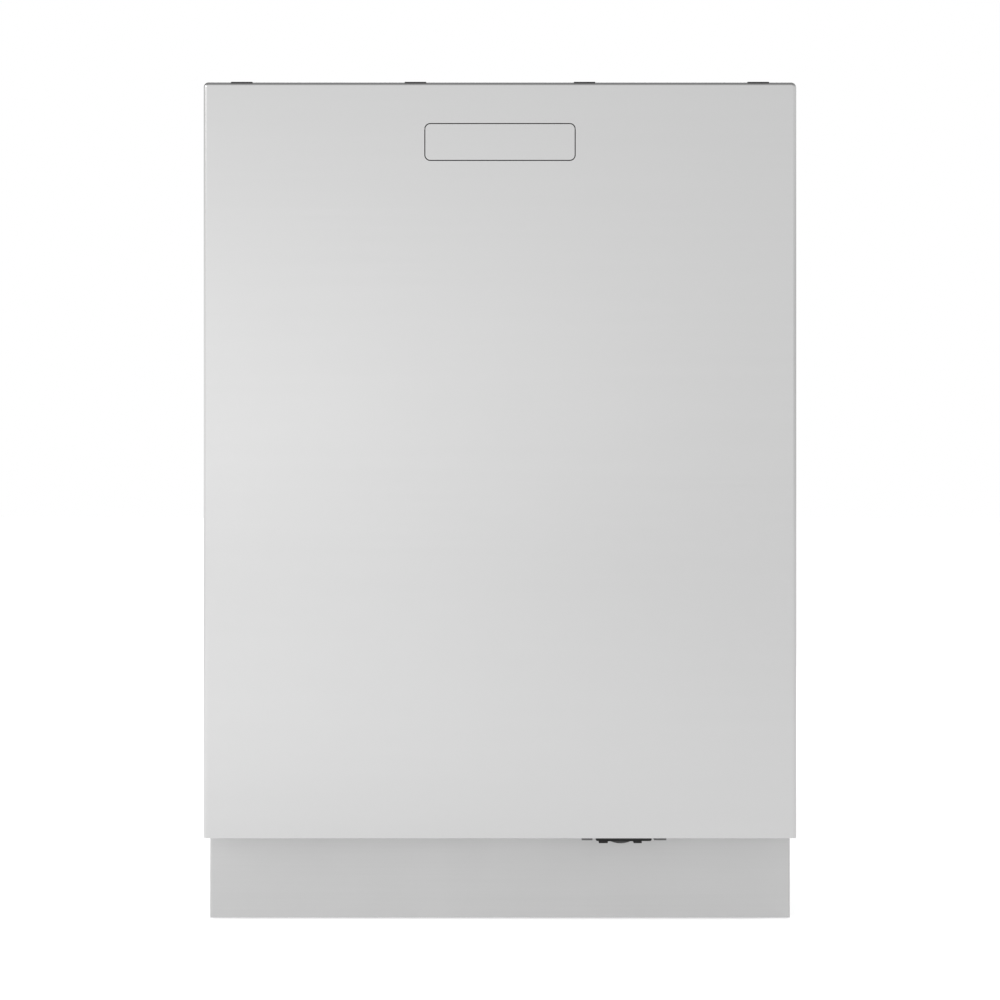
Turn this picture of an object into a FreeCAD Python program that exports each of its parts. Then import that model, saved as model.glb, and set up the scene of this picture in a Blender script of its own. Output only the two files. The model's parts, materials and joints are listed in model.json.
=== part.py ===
"""Built-in dishwasher with a flush steel door, hidden controls and a push-in handle flap.

Millimetres. The origin is on the floor under the middle of the machine; +Z is up, -Y is the door side
and +X is to the right of a person facing the door. Every function returns {node name: [solids]}.
"""
import FreeCAD, Part
import math
import os

V = FreeCAD.Vector
X, Y, Z = V(1, 0, 0), V(0, 1, 0), V(0, 0, 1)

# ---- driving dimensions of the whole machine
WIDTH = 596.0
HEIGHT = 850.0
DEPTH = 575.0
FRONT, BACK = -DEPTH / 2, DEPTH / 2
SHEET = 1.2                        # thickness of every steel sheet
RUNNING = 0.08                     # radial clearance of a pin in its bore

# ---- door
DOOR_BOTTOM = 90.0
DOOR_TOP = HEIGHT - 0.2            # the black clips stand 0.2 above the steel edge
RETURN_DEPTH = 22.0                # how far the door skin is folded back at its sides and top
PIVOT_Y, PIVOT_Z = -262.0, 118.0   # axis of the door hinge
LINER_BACK = -235.5                # face of the inner door towards the tub
LINER_BOTTOM, LINER_TOP = 106.0, 825.0
LINER_HALF, LINER_LOW_HALF = 288.0, 272.0
LINER_STEP = 330.0                 # the liner is narrower below this height, for the hinges
EMBOSS = 8.0
PIN_R = 5.0

# ---- handle flap
FLAP_W, FLAP_H, FLAP_GAP, FLAP_PIN_R = 150.0, 36.0, 1.0, 2.5
FLAP_Z = 789.4                     # centre of the flap
FLAP_AXIS_Y, FLAP_AXIS_Z = FRONT + 6.0, FLAP_Z + FLAP_H / 2 - 3.5

# ---- clips along the top edge and the lamp under the door
CLIP_X, CLIP_W = (-259.5, -85.0, 85.0, 259.5), 21.6
LAMP_X = 121.3

# ---- controls on the door's top edge
FASCIA_FRONT, FASCIA_BACK = FRONT + 20.5, -236.5
FASCIA_TOP, FASCIA_BOTTOM = 848.5, 826.0
BUTTONS = {"button_power": -240.0, "button_program": 125.0, "button_start": 240.0}
BUTTON_W, BUTTON_D, BUTTON_GAP = 24.0, 12.0, 0.4
DISPLAY_W, DISPLAY_D = 140.0, 18.0

# ---- tub
TUB_HALF = 268.0                   # inside half width
TUB_FRONT, TUB_BACK = -231.5, 252.0
TUB_FLOOR, TUB_CEILING = 150.0, 828.0
TUB_R = 24.0
COVER_HALF = 292.6                 # half width of the steel lid over the tub
LEDGE_TOP, LEDGE_X = 165.0, 244.0  # the wheels of the lower rack roll on these side ledges
SUMP_X, SUMP_Y, SUMP_R, SUMP_WALL = 25.0, -18.0, 100.0, 3.0
DISH_R = 200.0                     # the tub's floor slopes from this radius down to the sump
ARM_Y = 10.0                       # the spray arms turn about x = 0 and this y
SALT_X, SALT_Y = -195.0, 190.0

# ---- racks
RACK_HALF = 244.0
RACK_FRONT, RACK_BACK = -197.0, 233.0
LOWER_FLOOR, LOWER_RIM = 225.0, 395.0
UPPER_FLOOR, UPPER_RIM = 455.0, 590.0
TRAY_FLOOR, TRAY_RIM = 735.0, 772.0
WHEEL_R, WHEEL_Z = 19.0, 184.5
AXLES_Y = {"lower_rack_front_wheels": -65.0, "lower_rack_rear_wheels": 150.0}
RAIL_FRONT, RAIL_BACK = -217.0, 223.0
UPPER_RAIL_Z, TRAY_RAIL_Z = 525.0, 749.0

# ---- base, feet and plinth
BASE_HALF, BASE_FRONT, BASE_BACK = 288.0, -222.0, 272.0
BASE_BOTTOM, BASE_TOP, BASE_WALL = 38.0, 148.6, 3.0
FEET = {"foot_front_left": (-262.0, -195.0), "foot_front_right": (262.0, -195.0),
        "foot_rear_left": (-262.0, 250.0), "foot_rear_right": (262.0, 250.0)}
FOOT_ROD_R = 5.0
PLINTH_HALF, PLINTH_FRONT, PLINTH_TOP, PLINTH_BOTTOM = 297.0, FRONT + 50.0, 84.5, 2.0


# ---------------------------------------------------------------- helpers
def block(x, y, z):
    """A box from three (low, high) pairs."""
    return Part.makeBox(x[1] - x[0], y[1] - y[0], z[1] - z[0], V(x[0], y[0], z[0]))


def centred(half, y, z):
    """A box that is symmetric about x = 0."""
    return block((-half, half), y, z)


def disc(x, y, z, radius, length, axis=Z):
    return Part.makeCylinder(radius, length, V(x, y, z), axis)


def edges_along(shape, axis, test=lambda edge: True):
    """The straight edges parallel to an axis that pass a test of their middle point."""
    found = []
    for edge in shape.Edges:
        if len(edge.Vertexes) == 2 and isinstance(edge.Curve, Part.Line):
            run = edge.Vertexes[1].Point - edge.Vertexes[0].Point
            if run.Length > 1e-6 and abs(run.normalize().dot(axis)) > 0.999 and test(edge.CenterOfMass):
                found.append(edge)
    return found


def rounded(shape, axis, radius, test=lambda middle: True):
    """The shape with its edges along an axis rounded."""
    return shape.makeFillet(radius, edges_along(shape, axis, test))


def mirror(shape):
    return shape.mirror(V(0, 0, 0), X)


def both_sides(*shapes):
    """Each shape and its mirror image in x = 0, as separate solids."""
    return [s for shape in shapes for s in (shape, mirror(shape))]


def join(first, *others):
    return first.multiFuse(list(others)).removeSplitter() if others else first


def drop(first, *others):
    for other in others:
        first = first.cut(other)
    return first


def lattice(origin, across, up, out, size, cells, wire, thick):
    """A flat grid of welded wires: size and cells are (across, up), and it is thick along out."""
    def outline(a0, a1, b0, b1):
        corners = [(a0, b0), (a1, b0), (a1, b1), (a0, b1), (a0, b0)]
        return Part.makePolygon([origin + across * a + up * b for a, b in corners])

    pitch_a, pitch_b = ((size[k] - wire) / cells[k] for k in (0, 1))
    wires = [outline(0, size[0], 0, size[1])]
    for i in range(cells[0]):
        for j in range(cells[1]):
            a, b = wire + i * pitch_a, wire + j * pitch_b
            wires.append(outline(a, a + pitch_a - wire, b, b + pitch_b - wire))
    face = Part.makeFace(Part.makeCompound(wires), "Part::FaceMakerBullseye")
    return face.extrude(out * thick)


def channel(web, opening, height, length_y, z_mid):
    """A C-section rail on the right: web is its outer x, and its flanges reach in to x = opening."""
    z = (z_mid - height / 2, z_mid + height / 2)
    body = block((opening, web), length_y, z)
    return drop(body, block((opening - 1, web - SHEET), length_y, (z[0] + SHEET, z[1] - SHEET)))


# ---------------------------------------------------------------- door
def door_outer_panel():
    """The steel skin: one sheet folded back at the sides and top, with the flap hole and four notches."""
    corner_r, bend_r = 5.0, 3.5

    def envelope(inset, depth):
        shape = centred(WIDTH / 2 - inset, (FRONT + inset, FRONT + depth),
                        (DOOR_BOTTOM + inset, DOOR_TOP - inset))
        shape = rounded(shape, Y, corner_r - inset, lambda m: m.z > HEIGHT / 2)
        rim = [e for e in shape.Edges
               if all(abs(v.Y - FRONT - inset) < 1e-3 for v in e.Vertexes)
               and any(v.Z > DOOR_BOTTOM + inset + 1 for v in e.Vertexes)]
        return shape.makeFillet(bend_r - inset, rim)

    skin = envelope(0.0, RETURN_DEPTH).cut(envelope(SHEET, RETURN_DEPTH + 1))
    bottom_return = 10.0
    skin = drop(
        skin,
        centred(WIDTH / 2 - SHEET, (FRONT + bottom_return, FRONT + 30), (DOOR_BOTTOM - 1, DOOR_BOTTOM + 2)),
        rounded(centred(FLAP_W / 2 + FLAP_GAP, (FRONT - 5, FRONT + 5),
                        (FLAP_Z - FLAP_H / 2 - FLAP_GAP, FLAP_Z + FLAP_H / 2 + FLAP_GAP)), Y, 6.0),
    )
    notch_half = CLIP_W / 2 + 0.2
    for x in CLIP_X:
        skin = skin.cut(block((x - notch_half, x + notch_half), (FRONT - 1, FRONT + 30),
                              (DOOR_TOP - 1.5, HEIGHT + 1)))
    return skin


def top_edge_clips():
    return [block((x - CLIP_W / 2, x + CLIP_W / 2), (FRONT + 0.7, FASCIA_FRONT + 0.8), (FASCIA_TOP, HEIGHT))
            for x in CLIP_X]


def handle_pocket():
    """The finger pocket behind the flap, with a blind bore in each end wall for the flap's pins."""
    half, wall, depth = FLAP_W / 2 + 4.0, 3.0, 43.0
    z = (FLAP_Z - 37.0, FLAP_Z + 23.5)
    shell = rounded(centred(half, (FRONT + SHEET, FRONT + depth), z), X, 6.0, lambda m: m.y > FRONT + 10)
    hollow = rounded(centred(half - wall, (FRONT, FRONT + depth - wall), (z[0] + wall, z[1] - wall)),
                     X, 4.0, lambda m: m.y > FRONT + 10)
    bore = disc(-half + 1, FLAP_AXIS_Y, FLAP_AXIS_Z, FLAP_PIN_R + RUNNING, 2 * half - 2, X)
    return drop(shell, hollow, bore)


def handle_flap():
    """The flush flap with a stiffening barrel on its hinge axis and a pin at each end."""
    plate = centred(FLAP_W / 2, (FRONT, FRONT + 2.5), (FLAP_Z - FLAP_H / 2, FLAP_Z + FLAP_H / 2))
    plate = rounded(plate, Y, 5.0)
    barrel_half = FLAP_W / 2 - 6.0
    barrel = disc(-barrel_half, FLAP_AXIS_Y, FLAP_AXIS_Z, 4.0, 2 * barrel_half, X)
    web = centred(barrel_half, (FRONT + 1, FLAP_AXIS_Y), (FLAP_AXIS_Z - 3, FLAP_AXIS_Z + 3))
    pin_half = FLAP_W / 2 + 2.6
    pins = disc(-pin_half, FLAP_AXIS_Y, FLAP_AXIS_Z, FLAP_PIN_R, 2 * pin_half, X)
    stiffener = centred(barrel_half, (FRONT + 1, FRONT + 5), (FLAP_Z - FLAP_H / 2 + 4, FLAP_Z - FLAP_H / 2 + 7))
    return join(plate, barrel, web, pins, stiffener)


def door_liner():
    """The inner door: folded edges, a raised centre, two wheel tracks and the hole for the dispenser."""
    face = (LINER_BACK - 1.0, LINER_BACK)
    fold = (-264.0, LINER_BACK)
    outer = join(centred(LINER_HALF, fold, (LINER_STEP, LINER_TOP)),
                 centred(LINER_LOW_HALF, fold, (LINER_BOTTOM, LINER_STEP + 5)))
    inner = join(centred(LINER_HALF - 1, (-270, face[0]), (LINER_STEP + 1, LINER_TOP - 1)),
                 centred(LINER_LOW_HALF - 1, (-270, face[0]), (LINER_BOTTOM + 1, LINER_STEP + 5)))
    shell = outer.cut(inner)

    def raised(half, y, z, radius):
        return rounded(centred(half, y, z), Y, radius)

    emboss = raised(240, (LINER_BACK - 0.5, LINER_BACK + EMBOSS), (190, 800), 30)
    emboss = emboss.makeFillet(5.0, [e for e in emboss.Edges
                                     if all(abs(v.Y - LINER_BACK - EMBOSS) < 1e-3 for v in e.Vertexes)])
    under = raised(239, (face[0] - 1, LINER_BACK + EMBOSS - 1), (191, 799), 29)
    under = under.makeFillet(4.0, [e for e in under.Edges
                                   if all(abs(v.Y - LINER_BACK - EMBOSS + 1) < 1e-3 for v in e.Vertexes)])
    track_x, track_y, track_z = (246.0, 260.5), LINER_BACK + 20.0, (180.0, 430.0)
    track = rounded(block(track_x, (LINER_BACK - 0.5, track_y), track_z), X, 8.0, lambda m: m.y > LINER_BACK)
    track_under = block((track_x[0] + 1, track_x[1] - 1), (face[0] - 1, track_y - 8.5),
                        (track_z[0] + 9, track_z[1] - 9))
    shell = join(shell, emboss, *both_sides(track))
    dispenser_hole = rounded(block((-105.3, 95.3), (-270, -200), (429.7, 590.3)), Y, 12.3)
    return drop(shell, under, *both_sides(track_under), dispenser_hole)


def dispenser():
    """Detergent and rinse-aid unit: a body with a cup, a lid that slides in a track, and a round cap."""
    face = LINER_BACK + EMBOSS + 5.5
    body = join(rounded(block((-105, 95), (-262, face), (430, 590)), Y, 12),
                rounded(block((-110, 100), (LINER_BACK + EMBOSS, LINER_BACK + EMBOSS + 2.5), (425, 595)),
                        Y, 16))
    cup = rounded(block((-88, -30), (face - 27, face + 1), (482, 558)), Y, 8)
    track = block((-97, 44), (face - 3, face + 1), (470, 570))
    cap_x, cap_z, stem_r = 70.0, 505.0, 12.0
    cap_bore = disc(cap_x, face - 14, cap_z, stem_r + RUNNING, 20, Y)
    body = drop(body, cup, track, cap_bore)
    lid = join(block((-94, -24), (face - 2.7, face - 0.3), (471, 569)),
               rounded(block((-40, -30), (face - 1, face + 2.5), (500, 540)), Y, 3))
    cap = join(disc(cap_x, face + 0.3, cap_z, 17, 4.5, Y), disc(cap_x, face - 13, cap_z, stem_r, 14, Y),
               block((cap_x - 14, cap_x + 14), (face + 4, face + 8), (cap_z - 2.5, cap_z + 2.5)))
    return {"dispenser_body": [body], "dispenser_lid": [lid], "rinse_aid_cap": [cap]}


def controls():
    """The black control strip on the door's top edge, with its window and push buttons."""
    mid_y = (FASCIA_FRONT + FASCIA_BACK) / 2
    skin = 3.0
    strip = drop(centred(LINER_HALF, (FASCIA_FRONT, FASCIA_BACK), (FASCIA_BOTTOM, FASCIA_TOP)),
                 centred(LINER_HALF - skin, (FASCIA_FRONT + 2, FASCIA_BACK - 2),
                         (FASCIA_BOTTOM - 1, FASCIA_TOP - skin)))
    window_z = FASCIA_TOP - 1.6
    strip = strip.cut(centred(DISPLAY_W / 2 + 0.1, (mid_y - DISPLAY_D / 2 - 0.1, mid_y + DISPLAY_D / 2 + 0.1),
                              (window_z, HEIGHT)))
    nodes = {"display_window": [centred(DISPLAY_W / 2, (mid_y - DISPLAY_D / 2, mid_y + DISPLAY_D / 2),
                                        (window_z, FASCIA_TOP + 0.2))]}
    for name, x in BUTTONS.items():
        def key(grow, z):
            half_w, half_d = BUTTON_W / 2 + grow, BUTTON_D / 2 + grow
            return rounded(block((x - half_w, x + half_w), (mid_y - half_d, mid_y + half_d), z), Z, 3.0 + grow)

        strip = strip.cut(key(BUTTON_GAP, (FASCIA_TOP - 5, HEIGHT)))
        nodes[name] = [key(0.0, (FASCIA_TOP - 10.0, FASCIA_TOP + 0.8))]
    nodes["control_strip"] = [strip]
    return nodes


def status_lamp():
    """The small lamp under the door's bottom edge: a holder with two feet, a curved lens and two clips."""
    lens_r, sag, under = 24.6, 5.7, DOOR_BOTTOM - 2.3
    holder = join(block((LAMP_X - 24.9, LAMP_X + 31.1), (FRONT + 1.5, FRONT + 20), (under, DOOR_BOTTOM)),
                  block((LAMP_X - 21.8, LAMP_X - 12.7), (FRONT + 5, FRONT + 16), (under - 3.3, under + 1)),
                  block((LAMP_X + 13.1, LAMP_X + 21.4), (FRONT + 5, FRONT + 16), (under - 3.3, under + 1)))
    lens = disc(LAMP_X, FRONT + 5, DOOR_BOTTOM - sag + lens_r, lens_r, 11, Y)
    lens = lens.common(block((LAMP_X - 12.5, LAMP_X + 12.5), (FRONT, FRONT + 20), (DOOR_BOTTOM - 10, under)))
    clips = [block((LAMP_X + low, LAMP_X + high), (FRONT + 3, FRONT + 14), (under - 0.1, DOOR_BOTTOM))
             for low, high in ((-39.1, -28.3), (33.6, 46.0))]
    return {"status_lamp_holder": [holder], "status_lamp_lens": [lens], "status_lamp_clips": clips}


def hinge_arms():
    """The steel arms that carry the door: each has a running bore on the hinge axis."""
    plate_x, bore_r, eye_r = (284.0, 287.0), PIN_R + RUNNING, 11.0
    blade = block(plate_x, (PIVOT_Y - eye_r, PIVOT_Y + 20), (PIVOT_Z, 320))
    eye = disc(plate_x[0], PIVOT_Y, PIVOT_Z, eye_r, plate_x[1] - plate_x[0], X)
    foot = block((LINER_LOW_HALF, plate_x[0] + 1), (-257, -241), (225, 310))
    bore = disc(plate_x[0] - 1, PIVOT_Y, PIVOT_Z, bore_r, 8, X)
    return both_sides(join(blade, eye, foot).cut(bore))


def hinge_brackets():
    """The fixed half of each hinge: a plate in the base with an arm that reaches to the hinge axis."""
    plate_x, arm_half = (279.0, 282.0), 11.0
    arm = block(plate_x, (PIVOT_Y, -150), (PIVOT_Z - arm_half, PIVOT_Z + arm_half))
    nose = disc(plate_x[0], PIVOT_Y, PIVOT_Z, arm_half, plate_x[1] - plate_x[0], X)
    plate = block(plate_x, (-215, -140), (60, 140))
    boss = block((plate_x[1] - 1, BASE_HALF - BASE_WALL), (-190, -160), (80, 105))
    tab = block((266, plate_x[0] + 1), (-150, -146), (78, 92))
    pin = disc(plate_x[1] - 1, PIVOT_Y, PIVOT_Z, PIN_R, 9, X)
    return both_sides(join(arm, nose, plate, boss, tab, pin))


def door():
    insulation = drop(centred(255, (FRONT + 3, -266), (125, 745)), block((-112, 102), (-300, -200), (420, 600)))
    strike = join(centred(20, (FASCIA_BACK, FASCIA_BACK + 1.5), (829, 843)),
                  centred(12, (FASCIA_BACK, FASCIA_BACK + 14), (834, 838)),
                  centred(12, (FASCIA_BACK + 11, FASCIA_BACK + 14), (832.5, 839.5)))
    nodes = {
        "door_outer_panel": [door_outer_panel()],
        "door_liner": [door_liner()],
        "door_insulation": [insulation],
        "top_edge_clips": top_edge_clips(),
        "handle_pocket": [handle_pocket()],
        "handle_flap": [handle_flap()],
        "hinge_arms": hinge_arms(),
        "door_strike": [strike],
    }
    nodes.update(dispenser())
    nodes.update(controls())
    nodes.update(status_lamp())
    return nodes


# ---------------------------------------------------------------- tub and frame
def tub_shell():
    """Sides and ceiling in one bent sheet, and the back wall welded to it."""
    def arch(grow, y):
        return rounded(centred(TUB_HALF + grow, y, (TUB_FLOOR - SHEET, TUB_CEILING + grow)), Y, TUB_R + grow,
                       lambda m: m.z > HEIGHT / 2)

    shell = arch(SHEET, (TUB_FRONT, TUB_BACK)).cut(arch(0.0, (TUB_FRONT - 1, TUB_BACK + 1)))
    shell = shell.cut(centred(TUB_HALF, (TUB_FRONT - 1, TUB_BACK + 1), (TUB_FLOOR - 5, TUB_FLOOR + 5)))
    back = rounded(centred(TUB_HALF + SHEET, (TUB_BACK, TUB_BACK + SHEET),
                           (TUB_FLOOR - SHEET, TUB_CEILING + SHEET)),
                   Y, TUB_R + SHEET, lambda m: m.z > HEIGHT / 2)
    return [shell, back]


def tub_floor():
    """The floor: a flat sheet with a dished middle, two wheel ledges and a lip along the front."""
    half, dish_r, dish_z = TUB_HALF - 0.2, DISH_R, TUB_FLOOR - 10.0
    y = (TUB_FRONT, TUB_BACK - 0.2)
    sheet = centred(half, y, (TUB_FLOOR - SHEET, TUB_FLOOR))
    sheet = sheet.cut(disc(SUMP_X, SUMP_Y, TUB_FLOOR - 5, dish_r, 10))
    profile = [(dish_r + 0.5, TUB_FLOOR), (dish_r, TUB_FLOOR), (SUMP_R, dish_z), (SUMP_R, dish_z - SHEET),
               (dish_r, TUB_FLOOR - SHEET), (dish_r + 0.5, TUB_FLOOR - SHEET), (dish_r + 0.5, TUB_FLOOR)]
    dish = Part.Face(Part.makePolygon([V(SUMP_X + r, SUMP_Y, z) for r, z in profile]))
    dish = dish.revolve(V(SUMP_X, SUMP_Y, 0), Z, 360)
    ledge = block((LEDGE_X, half), y, (TUB_FLOOR - SHEET, LEDGE_TOP))
    ledge = ledge.cut(block((LEDGE_X + SHEET, half + 1), (y[0] - 1, y[1] + 1),
                            (TUB_FLOOR - 5, LEDGE_TOP - SHEET)))
    lip = centred(LEDGE_X + 0.5, (TUB_FRONT, TUB_FRONT + SHEET), (TUB_FLOOR - 0.5, 161))
    floor = join(sheet, dish, lip, *both_sides(ledge))
    return floor.cut(disc(SALT_X, SALT_Y, TUB_FLOOR - 5, 32, 10))


def front_frame():
    """The flange round the tub's mouth that stiffens the machine and is screwed to the cabinets beside it."""
    half, fold_y, z = WIDTH / 2 - 4.0, TUB_FRONT + 36.5, (132.0, 846.0)
    frame = centred(half, (TUB_FRONT, fold_y), z)
    frame = frame.cut(centred(half - SHEET, (TUB_FRONT + SHEET, fold_y + 1), (z[0] - 1, z[1] - SHEET)))
    mouth = rounded(centred(TUB_HALF + SHEET + 0.3, (TUB_FRONT - 1, TUB_FRONT + 5),
                            (TUB_FLOOR - SHEET - 0.3, TUB_CEILING + SHEET + 0.3)), Y, TUB_R + SHEET + 0.3,
                    lambda m: m.z > HEIGHT / 2)
    slot = centred(16, (TUB_FRONT - 1, TUB_FRONT + 5), (831, 842))
    holes = [disc(-half - 5, TUB_FRONT + 18.5, hole_z, 2.5, 2 * half + 10, X) for hole_z in (250.0, 700.0)]
    return drop(frame, mouth, slot, *holes)


def gasket():
    """The rubber seal round the mouth: a lip inside the tub's sides and top, and a bead towards the door."""
    def arch(inset, y):
        return rounded(centred(TUB_HALF - inset, y, (LEDGE_TOP + 0.3, TUB_CEILING - inset)), Y,
                       TUB_R - inset, lambda m: m.z > HEIGHT / 2)

    inner = 2.5
    lip = arch(0.15, (TUB_FRONT - 1, TUB_FRONT + 9))
    bead = arch(-5.0, (TUB_FRONT - 3.5, TUB_FRONT - 0.1))
    opening = join(arch(inner, (TUB_FRONT - 10, TUB_FRONT + 20)),
                   centred(TUB_HALF - inner, (TUB_FRONT - 10, TUB_FRONT + 20), (LEDGE_TOP, LEDGE_TOP + 20)))
    return join(lip, bead).cut(opening)


def side_frames():
    """On each side a galvanised rear post and the rail that joins it to the front frame."""
    post_x = (271.0, 291.0)
    post = join(block((post_x[1] - SHEET, post_x[1]), (226, 250), (TUB_FLOOR - SHEET, 844.4)),
                block(post_x, (250 - SHEET, 250), (TUB_FLOOR - SHEET, 844.4)))
    rail = join(block((post_x[1] - SHEET, post_x[1]), (-194, 227), (790, 844.4)),
                block((post_x[0], post_x[1]), (-194, 227), (790, 790 + SHEET)))
    return both_sides(join(post, rail))


def top_cover():
    """The steel lid over the tub, with pressed ribs and folded sides."""
    half, y = COVER_HALF, (-194.8, 252.0)
    lid = centred(half, y, (844.6, 846.0))
    sides = both_sides(block((half - SHEET, half), y, (818, 845)))
    ribs = [rounded(centred(230, (mid - 9, mid + 9), (845.0, 847.4)), Z, 8.0) for mid in (-120, -20, 80, 180)]
    return join(lid, *sides, *ribs)


def insulation_mats():
    side = block((TUB_HALF + 1.4, TUB_HALF + 5.0), (-188, 215), (172, 780))
    return both_sides(side) + [centred(245, (-188, 240), (TUB_CEILING + 1.4, TUB_CEILING + 5)),
                               centred(240, (TUB_BACK + 1.4, TUB_BACK + 5), (172, 790))]


def water_chamber():
    """The moulded fill and air-break chamber on the left side, with its labyrinth ribs and two pipes down."""
    x = (-287.5, -273.6)
    plate = rounded(block(x, (-150, 190), (240, 740)), X, 22)
    ribs = [block((x[0] - 2.6, x[0] + 1), (-128 + (k % 2) * 40, 130 + (k % 2) * 40), (z, z + 9))
            for k, z in enumerate(range(300, 700, 50))]
    rims = drop(rounded(block((x[0] - 2.6, x[0] + 1), (-142, 182), (248, 732)), X, 18),
                rounded(block((x[0] - 3, x[0] + 2), (-134, 174), (256, 724)), X, 12))
    pipes = [disc(-280.5, y, BASE_TOP + 0.1, 6.0, 95, Z) for y in (-60.0, 100.0)]
    return join(plate, rims, *ribs, *pipes)


def door_catch():
    body = centred(28, (TUB_FRONT + SHEET + 0.1, -192), (830.2, 844.4))
    return body.cut(centred(15.5, (TUB_FRONT, -210), (831.5, 842.0)))


def screws():
    """Pan heads on the front frame, the folded sides of the top cover and the base's back."""
    x, radius, height = 281, 4.0, 2.2
    heads = [disc(x, TUB_FRONT - height, z, radius, height, Y) for z in (200, 480, 790)]
    heads += [disc(COVER_HALF, y, 831, radius, height, X) for y in (-170, 235)]
    heads += [disc(x, BASE_BACK, z, radius, height, Y) for z in (60, 130)]
    return both_sides(*heads)


def cabinet():
    nodes = {
        "tub_shell": tub_shell(),
        "tub_floor": [tub_floor()],
        "front_frame": [front_frame()],
        "door_gasket": [gasket()],
        "side_frames": side_frames(),
        "top_cover": [top_cover()],
        "insulation_mats": insulation_mats(),
        "water_chamber": [water_chamber()],
        "door_catch": [door_catch()],
        "cabinet_screws": screws(),
        "hinge_brackets": hinge_brackets(),
    }
    return nodes


# ---------------------------------------------------------------- base and hydraulics
def base_tray():
    """The moulded base: open at the top, with foot bosses, hinge slots and holes for the connections."""
    outer = rounded(centred(BASE_HALF, (BASE_FRONT, BASE_BACK), (BASE_BOTTOM, BASE_TOP)), Z, 6.0)
    tray = drop(outer,
                centred(BASE_HALF - BASE_WALL, (BASE_FRONT + BASE_WALL, BASE_BACK - BASE_WALL),
                        (BASE_BOTTOM + BASE_WALL, BASE_TOP - 3)),
                centred(262, (-205, 240), (BASE_TOP - 4, BASE_TOP + 1)),
                disc(SUMP_X, SUMP_Y, BASE_TOP - 4, DISH_R - 1, 5))
    bosses = [disc(x, y, BASE_BOTTOM + 1, 11, 30) for x, y in FEET.values()]
    anchors = both_sides(block((262, BASE_HALF - 1), (40, 44), (BASE_BOTTOM + 1, 97)))
    tray = join(tray, *bosses, *anchors)
    bores = [disc(x, y, BASE_BOTTOM - 1, FOOT_ROD_R + RUNNING, 60) for x, y in FEET.values()]
    slots = both_sides(block((277.5, 283.5), (BASE_FRONT - 1, BASE_FRONT + 4), (104, 132)))
    holes = ((-200, 90, 17), (-120, 80, 22), (200, 95, 12))
    connections = [disc(x, 260, z, radius, 20, Y) for x, z, radius in holes]
    return drop(tray, *bores, *slots, *connections)


def foot(x, y):
    rod = disc(x, y, 7, FOOT_ROD_R, 88)
    pad = disc(x, y, 0, 20, 8)
    pad = pad.makeFillet(2.0, [e for e in pad.Edges if len(e.Vertexes) == 1 and e.CenterOfMass.z > 4])
    nut = Part.Face(Part.makePolygon([V(x + 9 * math.cos(a), y + 9 * math.sin(a), 13)
                                      for a in (math.pi / 3 * k for k in range(7))]))
    return join(rod, pad, nut.extrude(Z * 7))


def sump():
    """The bowl under the tub, the ledge that carries the filter, and the lower arm's post on its floor."""
    top, bottom = TUB_FLOOR - 11.3, 66.0
    floor = bottom + SUMP_WALL
    bowl = disc(SUMP_X, SUMP_Y, bottom, SUMP_R + SUMP_WALL, top - bottom)
    bowl = bowl.cut(disc(SUMP_X, SUMP_Y, floor, SUMP_R, top))
    ledge = disc(SUMP_X, SUMP_Y, 132, SUMP_R + 1, 4).cut(disc(SUMP_X, SUMP_Y, 131, SUMP_R - 5, 6))
    post = join(disc(0, ARM_Y, floor, 14, 186 - floor), disc(0, ARM_Y, 180, 8, 26), disc(0, ARM_Y, 204, 11, 4))
    return [join(bowl, ledge), post]


def filters():
    """The flat fine filter, and the coarse filter cup that twists out of it."""
    x, y, cup_r = 60.0, -58.0, 36.0
    plate = disc(SUMP_X, SUMP_Y, 136.1, SUMP_R - 0.6, 1.6)
    plate = drop(plate, disc(0, ARM_Y, 130, 14.5, 20), disc(x, y, 130, cup_r + 0.5, 20))
    cup = join(disc(x, y, 84, cup_r, 68).cut(disc(x, y, 87, cup_r - 2, 63)), disc(x, y, 138.2, cup_r + 6, 3))
    grip = join(rounded(block((x - 26, x + 26), (y - 4, y + 4), (151, 168)), Y, 6.0), disc(x, y, 148, 12, 5))
    return {"fine_filter": [plate], "coarse_filter": [join(cup, grip)]}


def softener():
    """The salt container beside the sump; its neck comes up through the tub floor under a screw cap."""
    tank = rounded(block((-245, -150), (140, 235), (46, 140)), Z, 10)
    neck = join(disc(SALT_X, SALT_Y, 139, 30, 14), disc(SALT_X, SALT_Y, TUB_FLOOR + 0.1, 38, 3))
    well = disc(SALT_X, SALT_Y, 60, 22, 100)
    cap = join(disc(SALT_X, SALT_Y, TUB_FLOOR + 3.4, 33, 9), disc(SALT_X, SALT_Y, 130, 21.5, 25),
               rounded(block((SALT_X - 28, SALT_X + 28), (SALT_Y - 4, SALT_Y + 4), (160, 172)), Y, 5.0))
    return {"salt_container": [join(tank, neck).cut(well)], "salt_cap": [cap]}


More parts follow.
